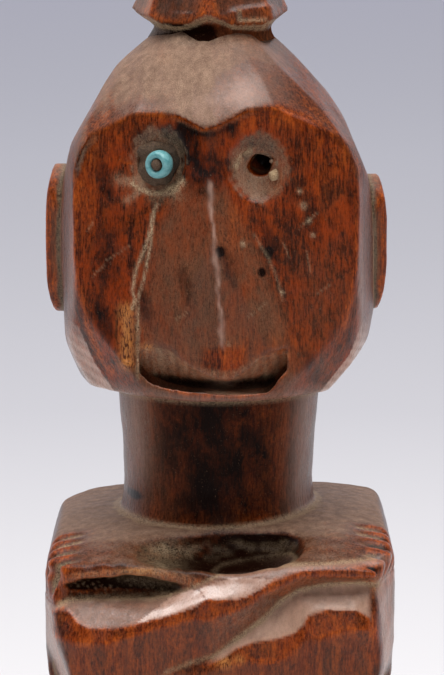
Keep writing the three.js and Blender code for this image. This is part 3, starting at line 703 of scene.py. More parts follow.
def make_lower():
    step = STEP * 1.6
    at = Lattice((-23.5, -24.5, 10.8), (23.5, 20, 70), step)
    width = along(at.z, [(50, 17.6), (54, 18.9), (58, 19.8), (63, 18.6), (68, 16.8), (72, 16.6)], 1)
    rear = along(at.z, [(50, 13), (54, 15.6), (58, 17.6), (62, 16.6), (68, 14.6), (72, 14.6)], 1)
    front = along(at.z, [(50, 13), (54, 14), (58, 14.8), (64, 14.4), (68, 14.2), (72, 14.6)], 1)
    across = np.abs(at.x / width) ** 3.4
    deep = np.abs(np.minimum(at.y, 0) / front) ** 3.4 + np.abs(np.maximum(at.y, 0) / rear) ** 3.4
    hips = ((across + deep) ** (1 / 3.4) - 1) * 15
    hips = whittle(at, hips, (0, 0, 60.5), 46, 0.5, 61)
    hips = both(hips, 53.2 - at.z, 0.3)
    rough = 0.08 * rolling(at, 3.4, 71) + 0.04 * rolling(at, 1.4, 72)
    legs, feet = [], []
    for side in (-1, 1):
        x = [side * v for v in (3, 5, 10, 15, 16.8, 18.4)]
        calf = hull(at, [(x[1], 6.6, 18), (x[3], 6.2, 18), (x[1], -4.6, 18), (x[3], -4.8, 18), (x[1], 9, 30),
                         (x[3], 8.4, 30), (x[1], -9.4, 36), (x[3], -9.6, 36), (x[1], 5, 40), (x[3], 5, 40),
                         (x[4], 2, 30), (side * 3.6, 2, 30), (x[2], 11, 29)], 0.4)
        thigh = hull(at, [(x[0], -10.4, 35), (x[4], -10, 35), (x[0], -11.6, 41), (x[4], -11.4, 41),
                          (x[0], 4, 37), (x[4], 4, 37), (x[0], 13, 54), (x[4], 13, 54), (x[0], -12, 54),
                          (x[4], -12, 54), (x[5], 0, 54), (side * 17.6, -4, 42)], 0.4)
        knee = both(plane(at, (side * 10, -11.3, 38), (0.1 * side, -0.93, -0.35)),
                    plane(at, (side * 10, -11.6, 42), (-0.1 * side, -0.98, 0.12)), 0.2)
        leg = both(either(calf, thigh, 1.2), knee, 0.3) + rough
        foot = hull(at, [(side * 4, 11, 12), (side * 16.5, 11, 12), (side * 4.6, 9.4, 18.6),
                         (side * 15.6, 9.4, 18.6), (side * 4.8, -5, 19), (side * 15.4, -5, 19),
                         (side * 4.6, -17, 15.2), (side * 16, -16.6, 15), (side * 5.8, -21.4, 12),
                         (side * 14.6, -21.2, 12), (side * 5.8, -20.4, 14.4), (side * 14.4, -20.2, 14.2),
                         (side * 4, -17.6, 12), (side * 16.8, -16, 12)], 0.4)
        toes = 0
        for index in range(1, 5):
            cut = np.abs(at.x - side * (5.4 + index * 2.05 + 0.12 * (at.y + 20)))
            toes = toes + np.maximum(0, 0.5 - cut) * (at.y < -14.5)
        foot = foot + toes * np.clip((-14.2 - at.y) / 1.5, 0, 1) + rough
        legs.append(leg)
        feet.append(foot)
    hips = hips + rough
    ankle, hip_line = 18.9, 53.6
    whole = np.minimum(hips, np.minimum(np.minimum(*legs), np.minimum(*feet)))
    for index, name in enumerate(("right", "left")):
        skin(at, np.maximum(np.maximum(legs[index], ankle - at.z), at.z - hip_line), name + "_leg", whole)
        skin(at, np.maximum(feet[index], 12 - at.z), name + "_foot", whole)
    skin(at, np.maximum(hips, at.z - 68.5), "hips", whole)
    # plinth
    base = Lattice((-30, -30, -1.2), (30, 30, 13.4), step)
    reach = np.sqrt(base.x**2 + base.y**2)
    disc = both(reach - 28.45, base.z - 12, 1.2)
    for index in range(22):
        turn = index * 2 * math.pi / 22 + 0.2 * math.sin(7.0 * index)
        way = (math.cos(turn), math.sin(turn), 0.06 * math.sin(4.0 * index))
        disc = both(disc, plane(base, (way[0] * 28.1, way[1] * 28.1, 6), way), 0.25)
    disc = disc + 0.08 * rolling(base, 3.6, 81) + 0.04 * rolling(base, 1.5, 82)
    skin(base, both(disc, -base.z, 0.3), "plinth", disc)


make_head()
make_topknot()
make_torso()
make_lower()


# ---------------------------------------------------------------- masks painted on the vertices

def rise(value, low, high):
    t = np.clip((value - low) / (high - low), 0, 1)
    return t * t * (3 - 2 * t)


def blob(p, centre, radii):
    q = ((p - np.array(centre)) / np.array(radii)) ** 2
    return np.exp(-q.sum(1))


def stroke(p, path, width):
    """1 on a line drawn over X-Z, fading to 0 a width away."""
    best = np.full(len(p), 9e9)
    flat = p[:, (0, 2)]
    for a, b in zip(path, path[1:]):
        a, b = np.array(a, float), np.array(b, float)
        t = np.clip(((flat - a) @ (b - a)) / ((b - a) @ (b - a)), 0, 1)
        best = np.minimum(best, np.linalg.norm(flat - a - t[:, None] * (b - a), axis=1))
    return np.exp(-((best / width) ** 2))


EDGE_LEFT = [(-19.3, 156), (-19.9, 152), (-20.1, 145), (-18.2, 136.6), (-16.4, 132), (-14.4, 129.6)]
EDGE_RIGHT = [(18.9, 155.4), (19, 148.8), (18.5, 143.9), (18, 139.8), (16.4, 134.4)]
SPLIT = [(-8.4, 153.5), (-9, 152.2), (-9.4, 149.9), (-9.9, 148.1), (-11.3, 144.7), (-11.9, 141.7),
         (-11.5, 140.6), (-11.9, 139.2)]
SPLIT_TWO = [(-8.9, 152.2), (-9.2, 148.8), (-10.3, 143.3), (-11.1, 140.8), (-11.1, 129.6)]


def curve(values, knots):
    xs, ys = zip(*knots)
    return np.interp(values, xs, ys)


def near_line(p, line, width):
    return stroke(p, [(x, z) for x, z, *_ in line], width)


def paint_head(p, n, masks, crease):
    x, y, z = p.T
    facing = rise(-n[:, 1], 0.2, 0.6)
    brow = curve(x, BROW)
    face = rise(brow - z, -0.2, 0.5) * facing * rise(20.4 - np.abs(x + 0.4), -0.4, 0.8) * rise(z, 126, 129)
    dome = rise(z - brow, -0.2, 1.2) * rise(z, 152, 158) * rise(n[:, 2], -0.3, 0.1)
    wall = (1 - face) * (1 - dome) * rise(-y, 13.4, 15) * rise(z, 151, 154) * rise(19 - np.abs(x), 0, 1)
    side = (1 - face) * (1 - dome) * (1 - wall)
    left = rise(-x, -8, 4)
    dust = dome * (0.42 + 0.3 * left - 0.24 * rise(x, 6, 13) - 0.35 * rise(-x, 12, 17) * rise(169 - z, 0, 4))
    dust *= 1 - 0.7 * rise(3.4 - (z - brow), 0, 2.4) * rise(np.abs(x + 2), 4, 8)
    sway = 0.4 * np.sin(0.9 * x + 0.7 * z)
    patch = p + np.stack([sway, 0 * sway, 0.5 * sway], 1)
    pink = 0.5 * outline_share(patch, [(-1.8, 167.9), (-0.5, 170.4), (4, 172.7), (8.4, 171.9),
                                       (12.8, 169), (9.6, 166.8), (5.8, 166.3),
                                       (0.4, 164.7)]) * dome * rise(-y, 2, 6)
    pink += 0.5 * blob(p, (3.6, -15, 168.8), (5, 9, 2.8)) * dome
    dust = dust * (1 - 0.75 * pink) + 0.3 * blob(p, (-4, -12, 171), (5, 9, 3.4)) * dome
    dust += side * 0.08 + 0.25 * side * rise(y, -6, 4) * rise(z, 150, 160)
    film = dome * (0.75 - 0.6 * rise(x, 6, 12) - 0.5 * rise(-x, 12, 16)) + 0.4 * side
    embers = dome * (0.4 * rise(x, 9, 14) + 0.45 * rise(-x, 12, 16) + 0.3
                     * blob(p, (-10, -17, 167.6), (4, 9, 1.4)))
    # pale pinkish patches on the forehead: painted sheen
    sheen_and_dust = 0.55 * blob(p, (3.2, -16, 168.5), (2.4, 9, 1.9)) + 0.5 * blob(p, (-2, -19, 166.6), (3, 9, 1.8))
    sheen_and_dust *= dome
    stripe = np.sin(1.7 * x + 0.25 * z + 0.8 * np.sin(0.4 * x)) + 0.6 * np.sin(4.3 * x + 0.3 * z)
    dust += 0.08 * stripe * dome * rise(1 - x, -3, 3)
    # pale facets low on the jaw at each side: painted reflection
    low = outline_share(p, [(-23, 137), (-21.3, 131), (-18, 126.6), (-13, 124.6), (-17.3, 130.7),
                            (-19.4, 136)])
    low += outline_share(p, [(23, 138), (21, 131), (18, 127.4), (12.6, 125.4), (15.4, 128.6), (17.9, 131.8),
                             (19.6, 136)])
    low *= rise(138 - z, 0, 6) * rise(-y, 1, 12) * (1 - 0.35 * np.sin(1.1 * x + 2.2 * z) ** 2)
    sheen_and_dust += 0.95 * low * (1 - face * rise(-n[:, 1], 0.75, 0.95))
    # the front of the head's sides is paler: painted reflection
    sheen_and_dust += 0.32 * side * rise(-y, 8, 14) * rise(150 - z, -6, 10)
    ridge = curve(z, [(128, 0.9), (133.4, 0.6), (157.2, -1.4)])
    wide = np.where(x < ridge, curve(z, NOSE_LEFT), curve(z, NOSE_RIGHT))
    nose = face * rise(1.15 - np.abs(x - ridge) / wide, 0, 0.35) * rise(157.5 - z, 0, 3)
    film += nose * (0.85 - 0.95 * rise(135 - z, 0, 1.6) * rise(4 - np.abs(x - 0.6), 0, 2))
    film += face * 0.3 * blob(p, (14, -17, 140), (5, 9, 9)) + face * 0.5 * blob(p, (12, -18, 130), (6, 9, 3))
    film += face * 0.4 * blob(p, (-9.6, -19, 130.4), (4, 9, 2.6))
    shadow = 0.5 * face * blob(p, (-2, -19, 158), (3.5, 9, 4))
    shadow += 0.35 * face * blob(p, (-15.5, -16, 146), (3, 9, 9))
    shadow += 0.3 * face * blob(p, (-7, -19, 163.5), (8, 9, 1.6))
    hot = embers * (0.55 + 0.3 * np.sin(3.1 * x + 1.9 * z)) + near_line(p, EDGE_LEFT, 0.6)
    hot += near_line(p, EDGE_RIGHT, 0.5) * 0.9
    hot += 0.35 * stroke(p, [(a, b - 1.2) for a, b in BROW[2:-3]], 1.1) * face
    hot += 0.6 * blob(p, (-17.5, -16, 159), (1.4, 9, 2.4)) * face
    hot += 0.4 * blob(p, (2.6, -18, 164.6), (2.2, 9, 1.2)) * face
    hot += 0.5 * blob(p, (8.6, -18, 165.2), (2.8, 9, 1.2)) * face
    hot += 0.3 * blob(p, (14, -17, 158), (3, 9, 5)) * face
    hot += 1.3 * blob(p, (0.6, -24.6, 133), (2.6, 3, 1.4))
    hot += 0.5 * blob(p, (-17.6, -16, 152), (1.8, 9, 5)) * face
    hot += 0.45 * blob(p, (2.4, -20, 151.6), (2, 6, 4)) + 0.4 * blob(p, (5, -19, 134), (6, 9, 2)) * face
    hot += stroke(p, LIP[1:-1], 0.4) * rise(-y, 19.4, 20.4)
    inside = rise(curve(x, NOSE_EDGE) - z, 0.1, 0.5) * rise(z - curve(x, LIP), 0.05, 0.4)
    inside *= rise(x, MOUTH[0] - 0.5, MOUTH[0]) * rise(MOUTH[1] + 0.5 - x, 0, 0.5) * rise(y, -24.2, -20.6)
    film = film * (1 - inside) + 0.9 * inside
    # inside the mouth the upper wall under the nose is painted lighter with dust, tan and orange: painted
    # light
    lit_mouth_top = inside * rise(z, 128.8, 130.6) * rise(curve(x, NOSE_EDGE) - 0.4 - z, 0, 0.3)
    grooved = np.sin(3.9 * x + 2 * np.sin(1.3 * x)) * np.sin(1.9 * x + 0.6 * z)
    dust = dust * (1 - inside) + (0.34 + 0.05 * grooved) * lit_mouth_top
    lit_mouth_tan = 0.18 * lit_mouth_top * (1 + grooved)
    hot += 0.7 * wall
    # the lower part of the mouth is painted near-black: painted shade in the recess
    stain = 1.1 * inside * rise(130.6 - z, 0, 2.2)
    hot += 0.5 * inside * rise(np.abs(x + 0.8), 8.6, 9.6) + 0.25 * lit_mouth_top
    raw = stroke(p, [(-12.7, 139), (-12.6, 135), (-12.7, 131.6)], 0.95) * face
    raw += 1.2 * blob(p, (-9.9, -20.4, 134), (0.9, 2, 0.6))
    raw += 0.5 * blob(p, (-7.4, -15, 172.6), (1.2, 9, 0.8))
    tan = 0.9 * stroke(p, SPLIT, 0.2) * face + 0.8 * stroke(p, SPLIT_TWO, 0.17) * face + lit_mouth_tan
    tan += 0.28 * stroke(p, [(4.6, 149.6), (6.6, 146.4), (7.9, 143.4), (8.6, 140.6)], 0.2) * face
    for start, end in (((-17.4, 143.2), (-15.6, 145.2)), ((-15.4, 145.6), (-12.2, 147.8)),
                       ((11, 150.4), (13.4, 152.2)), ((9.4, 146.4), (8.6, 148.4)),
                       ((-18, 149.4), (-17.2, 151)), ((12.4, 144.2), (11.9, 147)),
                       ((13, 141), (15.2, 142.4)), ((-6, 138), (-4.2, 139.4)),
                       ((4, 138.6), (6.4, 140.4))):
        tan += 0.3 * stroke(p, [start, end], 0.1) * face
    for spot, size in (((3.2, 148.3), 0.33), ((10.9, 155.2), 0.3), ((11.4, 153.2), 0.42),
                       ((12.2, 151.2), 0.35), ((12.7, 149.2), 0.3), ((8.6, 141.6), 0.25),
                       ((1.2, 134.9), 0.25)):
        tan += 0.9 * blob(p, (spot[0], -19, spot[1]), (size, 5, size))
    ragged = 0.12 * np.sin(2.1 * x + 1.3 * z) + 0.1 * np.sin(3.7 * z - 2.9 * x)
    ragged += 0.07 * np.sin(6.1 * x + 4.3 * z)
    tan += 0.8 * stroke(p, [(-11.8, 156.2), (-10.8, 155.4), (-9.4, 155), (-7.9, 155), (-6.4, 155.5)],
                        0.3) * face
    tan += 0.9 * stroke(p, [(-6.6, 155.3), (-5.7, 155.8), (-5, 156.6)], 0.42) * face
    rim = (x + 8.2) ** 2 / 4.1**2 + (z - 159.6) ** 2 / 4.9**2 + ragged
    socket = rise(1.15 - rim, 0, 0.45) * face
    fan = stroke(p, [(-11.4, 156.4), (-13.6, 156.6)], 0.9) + stroke(p, [(-10.6, 155.4), (-12.6, 153.9)], 0.6)
    fan += 0.6 * stroke(p, [(-9, 154.4), (-5.6, 154.8)], 0.9)
    dust += 0.34 * socket + 0.42 * fan * face
    film += 0.6 * socket
    tan += 0.22 * socket * rise(0.9 - rim, 0, 0.5) + 0.3 * fan * face
    shadow += 0.3 * socket * rise(x, -8.4, -6.6)
    hot += 0.9 * stroke(p, [(-16.1, 159.3), (-14.8, 159.5), (-13.7, 159.4), (-12.6, 158.9), (-11.5, 159)],
                        0.13) * face
    rim = (x - 5.45) ** 2 / 4.2**2 + (z - 158.6) ** 2 / 4.8**2 + 0.8 * ragged
    dish = rise(1.12 - rim, 0, 0.4) * face
    sheen_and_dust += 0.16 * dish * rise(158 - z, -1, 3) * rise(7 - x, 0, 3)
    dust += dish * (0.26 + 0.26 * rise(159 - z, -3, 2) * rise(8 - x, 0, 3))
    film += 0.6 * dish
    tan += 0.16 * dish
    shadow += 0.3 * dish * rise(z + 0.4 * x, 161.4, 164)
    tan += 0.7 * stroke(p, [(2.2, 158.6), (2.9, 160), (4.2, 160.7)], 0.4) * face
    hot += 0.8 * stroke(p, [(0.4, 160.8), (0.7, 157.6)], 0.3) * face
    hole = rise(2.15 - np.hypot(x - 5.2, z - 158.4), 0, 0.3) * rise(y, -16.9, -16.1)
    dust *= 1 - hole
    tan *= 1 - hole
    shadow *= 1 - hole
    # inside the drilled hole: painted light at the lower left, painted shade at the upper right
    hot += 0.9 * hole * rise(164.2 - x - z, -1.4, 0.4)
    stain += 0.8 * hole * rise(x + z - 163.8, -1, 1.5)
    tan += 0.5 * crease * side
    stain += 0.9 * blob(p, (-4.4, -8, 175.4), (5, 5, 1.2)) + 0.2 * np.maximum(0, crease - 0.3) * face
    for spot in ((6.6, 147), (5.8, 144.4), (0, 147.4)):
        stain += 1.2 * blob(p, (spot[0], -20, spot[1]), (0.5, 4, 0.6))
    # a thin pale line down the nose ridge: a painted highlight
    drift = ridge + 0.12 * np.sin(1.1 * z) + 0.07 * np.sin(3.3 * z)
    crest = np.exp(-(((x - drift) / (0.26 + 0.1 * np.sin(0.7 * z))) ** 2)) * face
    crest *= rise(z, 133.8, 135) * rise(157.4 - z, 0, 1.2)
    sheen_and_dust += crest * (0.62 + 0.2 * np.sin(1.9 * z))
    stain += 0.3 * face * rise(np.sin(0.55 * x + 0.8) * np.sin(0.31 * z + 0.4 * x), 0.45, 0.95)
    masks["red"] = face * (0.5 + 0.45 * (1 - np.clip(film, 0, 1)))
    masks["sheen_and_dust"] = sheen_and_dust
    masks["shine"] = 0.2 + 0.2 * dome * rise(6 - x, -4, 2) + 0.25 * side + 0.5 * low + 0.3 * crest
    masks["shine"] *= (1 - 0.7 * rise(x, 8, 12) * dome) * (1 - 0.7 * rise(-x, 11, 15) * dome) * (1 - wall)
    masks["shine"] *= 1 - rise(z, 174, 175.4)
    masks.update(dust=dust, film=film, hot=hot, stain=stain + shadow, tan=tan, raw=raw)


def between(p, upper, lower):
    """1 between two lines over X-Z that both run from left to right."""
    top = curve(p[:, 0], sorted((x, z) for x, z, _ in upper))
    low = curve(p[:, 0], sorted((x, z) for x, z, _ in lower))
    return rise(top - p[:, 2], -0.15, 0.25) * rise(p[:, 2] - low, -0.25, 0.15)


def paint_body(p, n, masks, crease):
    x, y, z = p.T
    front = rise(-y, 15, 19)
    up = rise(n[:, 2], 0.3, 0.75)
    top = up * rise(z, 101.5, 103.2) * rise(n[:, 2], 0.6, 0.9)
    band = between(p, ARRIS, BAND_FOOT) * front * rise(21.9 - np.abs(x), 0, 0.5)
    band_two = between(p, LEFT_EDGE, LEFT_FOOT) * front * rise(x, -3, 0) * rise(22 - x, 0, 0.5)
    cup = between(p, BACK_EDGE, ARRIS) * front
    ledge = between(p, CREASE, LEFT_EDGE) * front * rise(x, -2, 1) * rise(21 - x, 0, 1)
    # the upward facets and the glossy patch on the arms are painted lighter: painted sheen
    gloss = outline_share(p, [(12.3, 98.5), (13.7, 99.6), (16.5, 100.6), (18, 100.7), (18.8, 98.6),
                              (14.3, 98.7)])
    facets = outline_share(p, [(-11.4, 96.9), (-6.7, 99.9), (-4, 101.1), (-2.9, 101.2), (-1.8, 100.2),
                               (-3.7, 99.2), (-7, 98)])
    facets += 0.85 * outline_share(p, [(-2.6, 101.4), (0.1, 102.5), (2.3, 102.9), (7.2, 103), (5.8, 101.7),
                                       (3.4, 100.6), (-0.7, 100.2), (-1.7, 100.3)])
    gloss, facets = gloss * front, facets * front
    under = between(p, BAND_FOOT, CREASE) * front * rise(x, -4, 1)
    face = front * rise(0.35 - n[:, 2], 0, 0.2) * rise(z, 80, 84)
    dust = (0.33 + 0.06 * np.sin(2.2 * y + 0.5 * x) + 0.05 * np.sin(1.1 * x - 3 * y)) * top
    dust += 0.4 * up * (1 - front)
    dust = np.maximum(dust, 0.3 * cup * rise(-8 - x, -3, 2))
    dust = dust * (1 - 0.9 * facets) * (1 - band)
    dust = np.maximum(dust * (1 - ledge), 0.2 * ledge) * (1 - gloss)
    dust = np.maximum(dust, 0.3 * under)
    # painted sheen on the facets and gloss; pale dust on the cup and ledge
    sheen_and_dust = 0.76 * facets + 1.0 * gloss + 0.34 * cup + 0.9 * ledge
    # pale strips down the arms' outer sides: painted reflection
    side_sheen = outline_share(p, [(22.2, 97), (21.6, 100.6), (24.1, 103), (25, 99), (24.6, 91),
                                    (22.8, 89.2), (22.4, 93.8)])
    side_sheen += outline_share(p, [(-23.3, 98.4), (-24.6, 96), (-24.6, 92), (-23, 88), (-19.6, 84),
                                     (-19, 84.8), (-20.4, 88.4), (-22.1, 91.8), (-22.9, 95.4)])
    sheen_and_dust += 0.55 * side_sheen * rise(z, 82, 87) * rise(-y, 11, 20) * rise(103.4 - z, 0, 2)
    hot = 0.26 * band + 0.26 * band_two + 0.85 * near_line(p, ARRIS, 0.3) * front
    hot += 0.8 * near_line(p, LEFT_EDGE, 0.28) * front + 0.6 * near_line(p, BAND_FOOT, 0.42) * front
    hot += 0.65 * near_line(p, LEFT_FOOT, 0.42) * front * rise(x, -1, 1)
    hot += 0.8 * blob(p, (-22.4, -22, 99.6), (0.9, 4, 1.2)) + 0.35 * blob(p, (-15.6, -25, 88), (1, 6, 5))
    rolled = between(p, ROLL_TOP, ROLL_FOOT) * front * rise(x, -22, -19) * rise(-2 - x, 0, 1.5)
    hot += 0.7 * rolled
    grip = rise(np.abs(x), 16.6, 20) * rise(z, 99.4, 101.4) * rise(-y, 9, 12)
    grooves = np.maximum(finger_cuts(Spots(p), -1), finger_cuts(Spots(p), 1)) / 0.95
    knuckle = grip * (1 - rise(grooves, 0.05, 0.4)) * rise(-y, 10, 12)
    hot += 1.1 * knuckle * rise(np.abs(x), 19.4, 21.6)
    dust *= 1 - 0.7 * knuckle
    film = 0.3 * face + 0.5 * under + 0.5 * top + 0.5 * cup
    plank = 0.5 + 0.5 * np.sin(1.6 * x + 0.9 * np.sin(0.7 * x + 0.1 * z))
    hot += (0.16 + 0.26 * plank) * face
    raw = 1.1 * blob(p, (0.7, -25.4, 91.6), (1, 3, 0.9)) + 0.9 * blob(p, (2.8, -26, 92), (0.6, 3, 0.6))
    raw += 0.5 * rolled * blob(p, (-11, -23, 103.6), (2.4, 4, 0.7)) * 2
    tan = 0.95 * near_line(p, CREASE[4:], 0.34) * front + 0.5 * near_line(p, CREASE[:5], 0.3) * front
    tan += 0.9 * near_line(p, BACK_EDGE[2:8], 0.32) * front + 0.6 * near_line(p, BACK_EDGE[7:], 0.2) * front
    tan += 0.7 * rise(grooves, 0.3, 0.8) * (x < 0) + 0.5 * crease * (1 - front)
    tan += 0.6 * blob(p, (21.8, -22, 101.4), (1, 3, 1))
    tan = tan * (1 - gloss) + 0.2 * ledge + 0.25 * rolled
    # the crevice between the arms is darkened: painted shade, with tan and orange crumbs in it
    hollow = between(p, ROLL_FOOT, BACK_EDGE) * rise(y, -23.3, -21.6) * rise(-1.5 - x, 0, 1) * rise(x,
                                                                                                    -22, -20)
    crumbs = np.sin(2.7 * x + 1.1 * z) * np.sin(4.1 * z - 1.7 * x) * np.sin(5.3 * x)
    stain = hollow * rise(z, 99.9, 100.9) * (0.75 + 0.3 * crumbs)
    tan += 0.16 * hollow * rise(-crumbs, 0.1, 0.5)
    hot += 0.5 * hollow * rise(crumbs, 0.2, 0.6)
    # the grooves between the fingers are darkened: painted shade
    stain += 0.9 * rise(grooves, 0.3, 0.8) * (0.5 + 0.5 * rise(n[:, 2], 0.2, 0.6))
    # the pit in front of the neck is darkened, with less dust, film and pale colour: painted shade in the
    # hollow
    pit = np.exp(-(((x + 0.4) / 12.2) ** 6) - ((y + 18.4) / 4.6) ** 6) * rise(z, 100, 102)
    pit *= rise(shoulder_at(p) - 0.35 - z, 0, 0.5)
    dust *= 1 - 0.9 * pit
    tan += 0.25 * pit * rise(-x, 2, 9)
    tan *= 1 - 0.8 * pit * rise(x, -6, -2)
    stain += pit * (0.5 + 0.4 * rise(x, -3, 6) + 0.3 * rise(104.4 - z, 0, 1))
    hot += 0.35 * pit * rise(np.sin(1.9 * x + np.sin(2.3 * x)), 0.2, 1)
    film *= 1 - 0.5 * pit
    hot += 0.3 * pit * rise(z, 104, 106)
    sheen_and_dust *= 1 - pit
    dust += 0.5 * blob(p, (-12, -24, 100), (6, 4, 0.6))
    sides = rise(np.abs(n[:, 0]), 0.5, 0.8)
    masks["red"] = 0.5 * face + 0.5 * (band + band_two)
    masks["shine"] = 0.25 + 0.7 * facets + 0.35 * gloss + 0.3 * cup + 0.45 * sides
    masks["shine"] *= (1 - hollow) * (1 - pit) * (1 - 0.6 * top)
    masks["sheen_and_dust"] = sheen_and_dust
    masks.update(dust=dust + 0.2 * sides, film=film, hot=hot, stain=stain, tan=tan, raw=raw)


def paint_neck(p, masks):
    x, y, z = p.T
    turn = np.degrees(np.arctan2(x, -y))
    centre = np.exp(-(((turn - 4) / 34) ** 4))
    blot = 0.5 + 0.5 * np.sin(0.21 * turn + 0.5 * np.sin(0.9 * z)) * np.sin(0.55 * z + 0.09 * turn)
    stain = (0.28 + 0.3 * blot) * centre * rise(z, 106, 111) + 0.14 * np.exp(-(((turn + 6) / 12) ** 2))
    stain += 0.25 * np.exp(-(((turn + 34) / 9) ** 2)) * rise(z, 112, 118)
    stain += 0.8 * blob(p, (-12.2, -6.6, 110.6), (1.5, 4, 0.7))
    film = 0.9 * np.exp(-(((turn + 62) / 26) ** 2)) + 0.7 * np.exp(-(((turn - 66) / 24) ** 2))
    dust = 0.35 * np.exp(-(((turn + 58) / 22) ** 2)) * rise(z, 114, 118)
    tan = 0.5 * rise(z - underside_at(p), -0.9, -0.2)
    tan += 0.55 * rise(shoulder_at(p) + 0.7 - z, 0, 0.6)
    hot = 0.35 * np.exp(-(((turn - 22) / 16) ** 2))
    hot += 0.3 * np.exp(-(((turn + 40) / 10) ** 2)) * rise(112 - z, 0, 3)
    masks["red"] = np.full(len(p), 0.3)
    masks["shine"] = 0.05 + 0.4 * rise(np.abs(turn), 40, 70)
    # the neck's sides are paler: painted sheen
    masks["sheen_and_dust"] = 0.34 * np.exp(-(((turn + 56) / 12) ** 2)) * rise(z, 111, 117)
    masks["sheen_and_dust"] += 0.3 * np.exp(-(((turn - 58) / 12) ** 2))
    masks.update(dust=dust, film=film, hot=hot, stain=stain, tan=tan, raw=0 * x)


class Spots:
    """Points in the form the height functions read."""

    def __init__(self, p):
        self.x, self.y, self.z = p.T


def underside_at(p):
    return underside(Spots(p))


def shoulder_at(p):
    return shoulder_top(Spots(p))


def outline_share(p, points):
    """1 at the vertices inside a closed outline over X-Z, 0 outside it."""
    return within(p[:, 0], p[:, 2], points).astype(float)


def paint(name):
    p, edge, bulge = (PIECES[name][key] for key in ("points", "edge", "bulge"))
    n = normals(name)
    worn = rise(edge, 0.012, 0.075)
    crease = rise(-edge, 0.012, 0.08)
    hollow = rise(-bulge, 0.06, 0.4)
    up = rise(n[:, 2], 0.35, 0.85)
    nothing = np.zeros(len(p))
    masks = {"dust": 0.6 * up, "stain": 0.4 * hollow, "tan": 0.5 * crease, "hot": 0.3 * worn,
             "film": nothing + 0.3, "raw": nothing, "red": nothing + 0.2, "shine": nothing + 0.4,
             "sheen_and_dust": nothing}
    if name == "head":
        paint_head(p, n, masks, crease)
    elif name in ("trunk", "left_arm", "right_arm"):
        paint_body(p, n, masks, crease)
    elif name == "neck":
        paint_neck(p, masks)
    elif name == "topknot":
        below = rise(-n[:, 2], 0.3, 0.7)
        masks["tan"] = 0.75 * below + 0.6 * stroke(p, [(2.75, 179), (2.75, 177.7), (6.4, 177.7)], 0.25)
        masks["hot"] = 0.45 * worn + 0.9 * blob(p, (-9.8, -5.6, 180), (0.8, 3, 3))
        masks["hot"] += blob(p, (-1.6, -9.4, 180), (1, 3, 3))
        # the topknot's lower left, under its overhang, is darkened: painted shade
        masks["stain"] = 0.8 * rise(177.6 - p[:, 2], 0, 1) * rise(-p[:, 0], -1, 2)
        masks["stain"] += 0.3 * blob(p, (-6.4, -8, 180), (2, 4, 4))
        masks["dust"] = 0.5 * rise(-n[:, 0], 0.5, 0.8)
        masks["shine"] = 0.4 * rise(p[:, 2], 177, 178.4)
    elif name in ("left_ear", "right_ear"):
        masks["hot"] = 0.9 * worn + 0.3
        masks["film"] = nothing + 0.6
        masks["tan"] = 0.3 * crease
        masks["dust"] = 0.1 + 0.5 * up
        masks["stain"] = 0.5 * crease
        masks["shine"] = nothing + 0.25
    return masks


for piece_name, data in PIECES.items():
    data["masks"] = paint(piece_name)
    for mask, values in data["masks"].items():
        add_mask(data["piece"].data, mask, values)


# ---------------------------------------------------------------- materials

class Shader:
    """A short way to write node trees. Values may be numbers, colours or sockets."""

    def __init__(self, name):
        self.material = bpy.data.materials.new(name)
        self.material.use_nodes = True
        self.tree = self.material.node_tree
        self.tree.nodes.clear()
        self.output = self.tree.nodes.new("ShaderNodeOutputMaterial")
        self.surface = self.tree.nodes.new("ShaderNodeBsdfPrincipled")
        self.tree.links.new(self.surface.outputs[0], self.output.inputs["Surface"])

    def put(self, socket, value):
        if isinstance(value, bpy.types.NodeSocket):
            self.tree.links.new(value, socket)
        elif value is not None:
            if socket.type == "RGBA" and len(value) == 3:
                value = (*value, 1)
            socket.default_value = value

    def node(self, kind, inputs, result=0, **settings):
        made = self.tree.nodes.new(kind)
        for key, value in settings.items():
            setattr(made, key, value)
        for key, value in inputs.items():
            self.put(made.inputs[key], value)
        return made.outputs[result]

    def math(self, operation, a, b=None, clamp=False):
        inputs = {0: a} if b is None else {0: a, 1: b}
        return self.node("ShaderNodeMath", inputs, operation=operation, use_clamp=clamp)

    def add(self, a, b):
        return self.math("ADD", a, b)

    def times(self, a, b, clamp=False):
        return self.math("MULTIPLY", a, b, clamp)

    def set(self, name, value):
        self.put(self.surface.inputs[name], value)

    def mix(self, share, a, b):
        made = self.tree.nodes.new("ShaderNodeMix")
        made.data_type = "RGBA"
        for index, value in ((0, share), (6, a), (7, b)):
            self.put(made.inputs[index], value)
        return made.outputs[2]

    def blend(self, share, a, b):
        made = self.tree.nodes.new("ShaderNodeMix")
        made.data_type = "FLOAT"
        for index, value in ((0, share), (2, a), (3, b)):
            self.put(made.inputs[index], value)
        return made.outputs[0]

    def stretch(self, value, low, high, to_low=0.0, to_high=1.0):
        return self.node("ShaderNodeMapRange", {"Value": value, "From Min": low, "From Max": high,
                                                "To Min": to_low, "To Max": to_high})

    def noise(self, vector, scale, detail=4.0, rough=0.55, warp=0.0):
        return self.node("ShaderNodeTexNoise", {"Vector": vector, "Scale": scale, "Detail": detail,
                                                "Roughness": rough, "Distortion": warp})

    def place(self, scale=(1, 1, 1), turn=(0, 0, 0)):
        """Object coordinates in millimetres, scaled."""
        spot = self.node("ShaderNodeTexCoord", {}, result=3)
        return self.node("ShaderNodeMapping", {"Vector": spot, "Scale": [1000 * s for s in scale],
                                               "Rotation": turn})

    def mask(self, name):
        return self.node("ShaderNodeAttribute", {}, result=2, attribute_name=name)


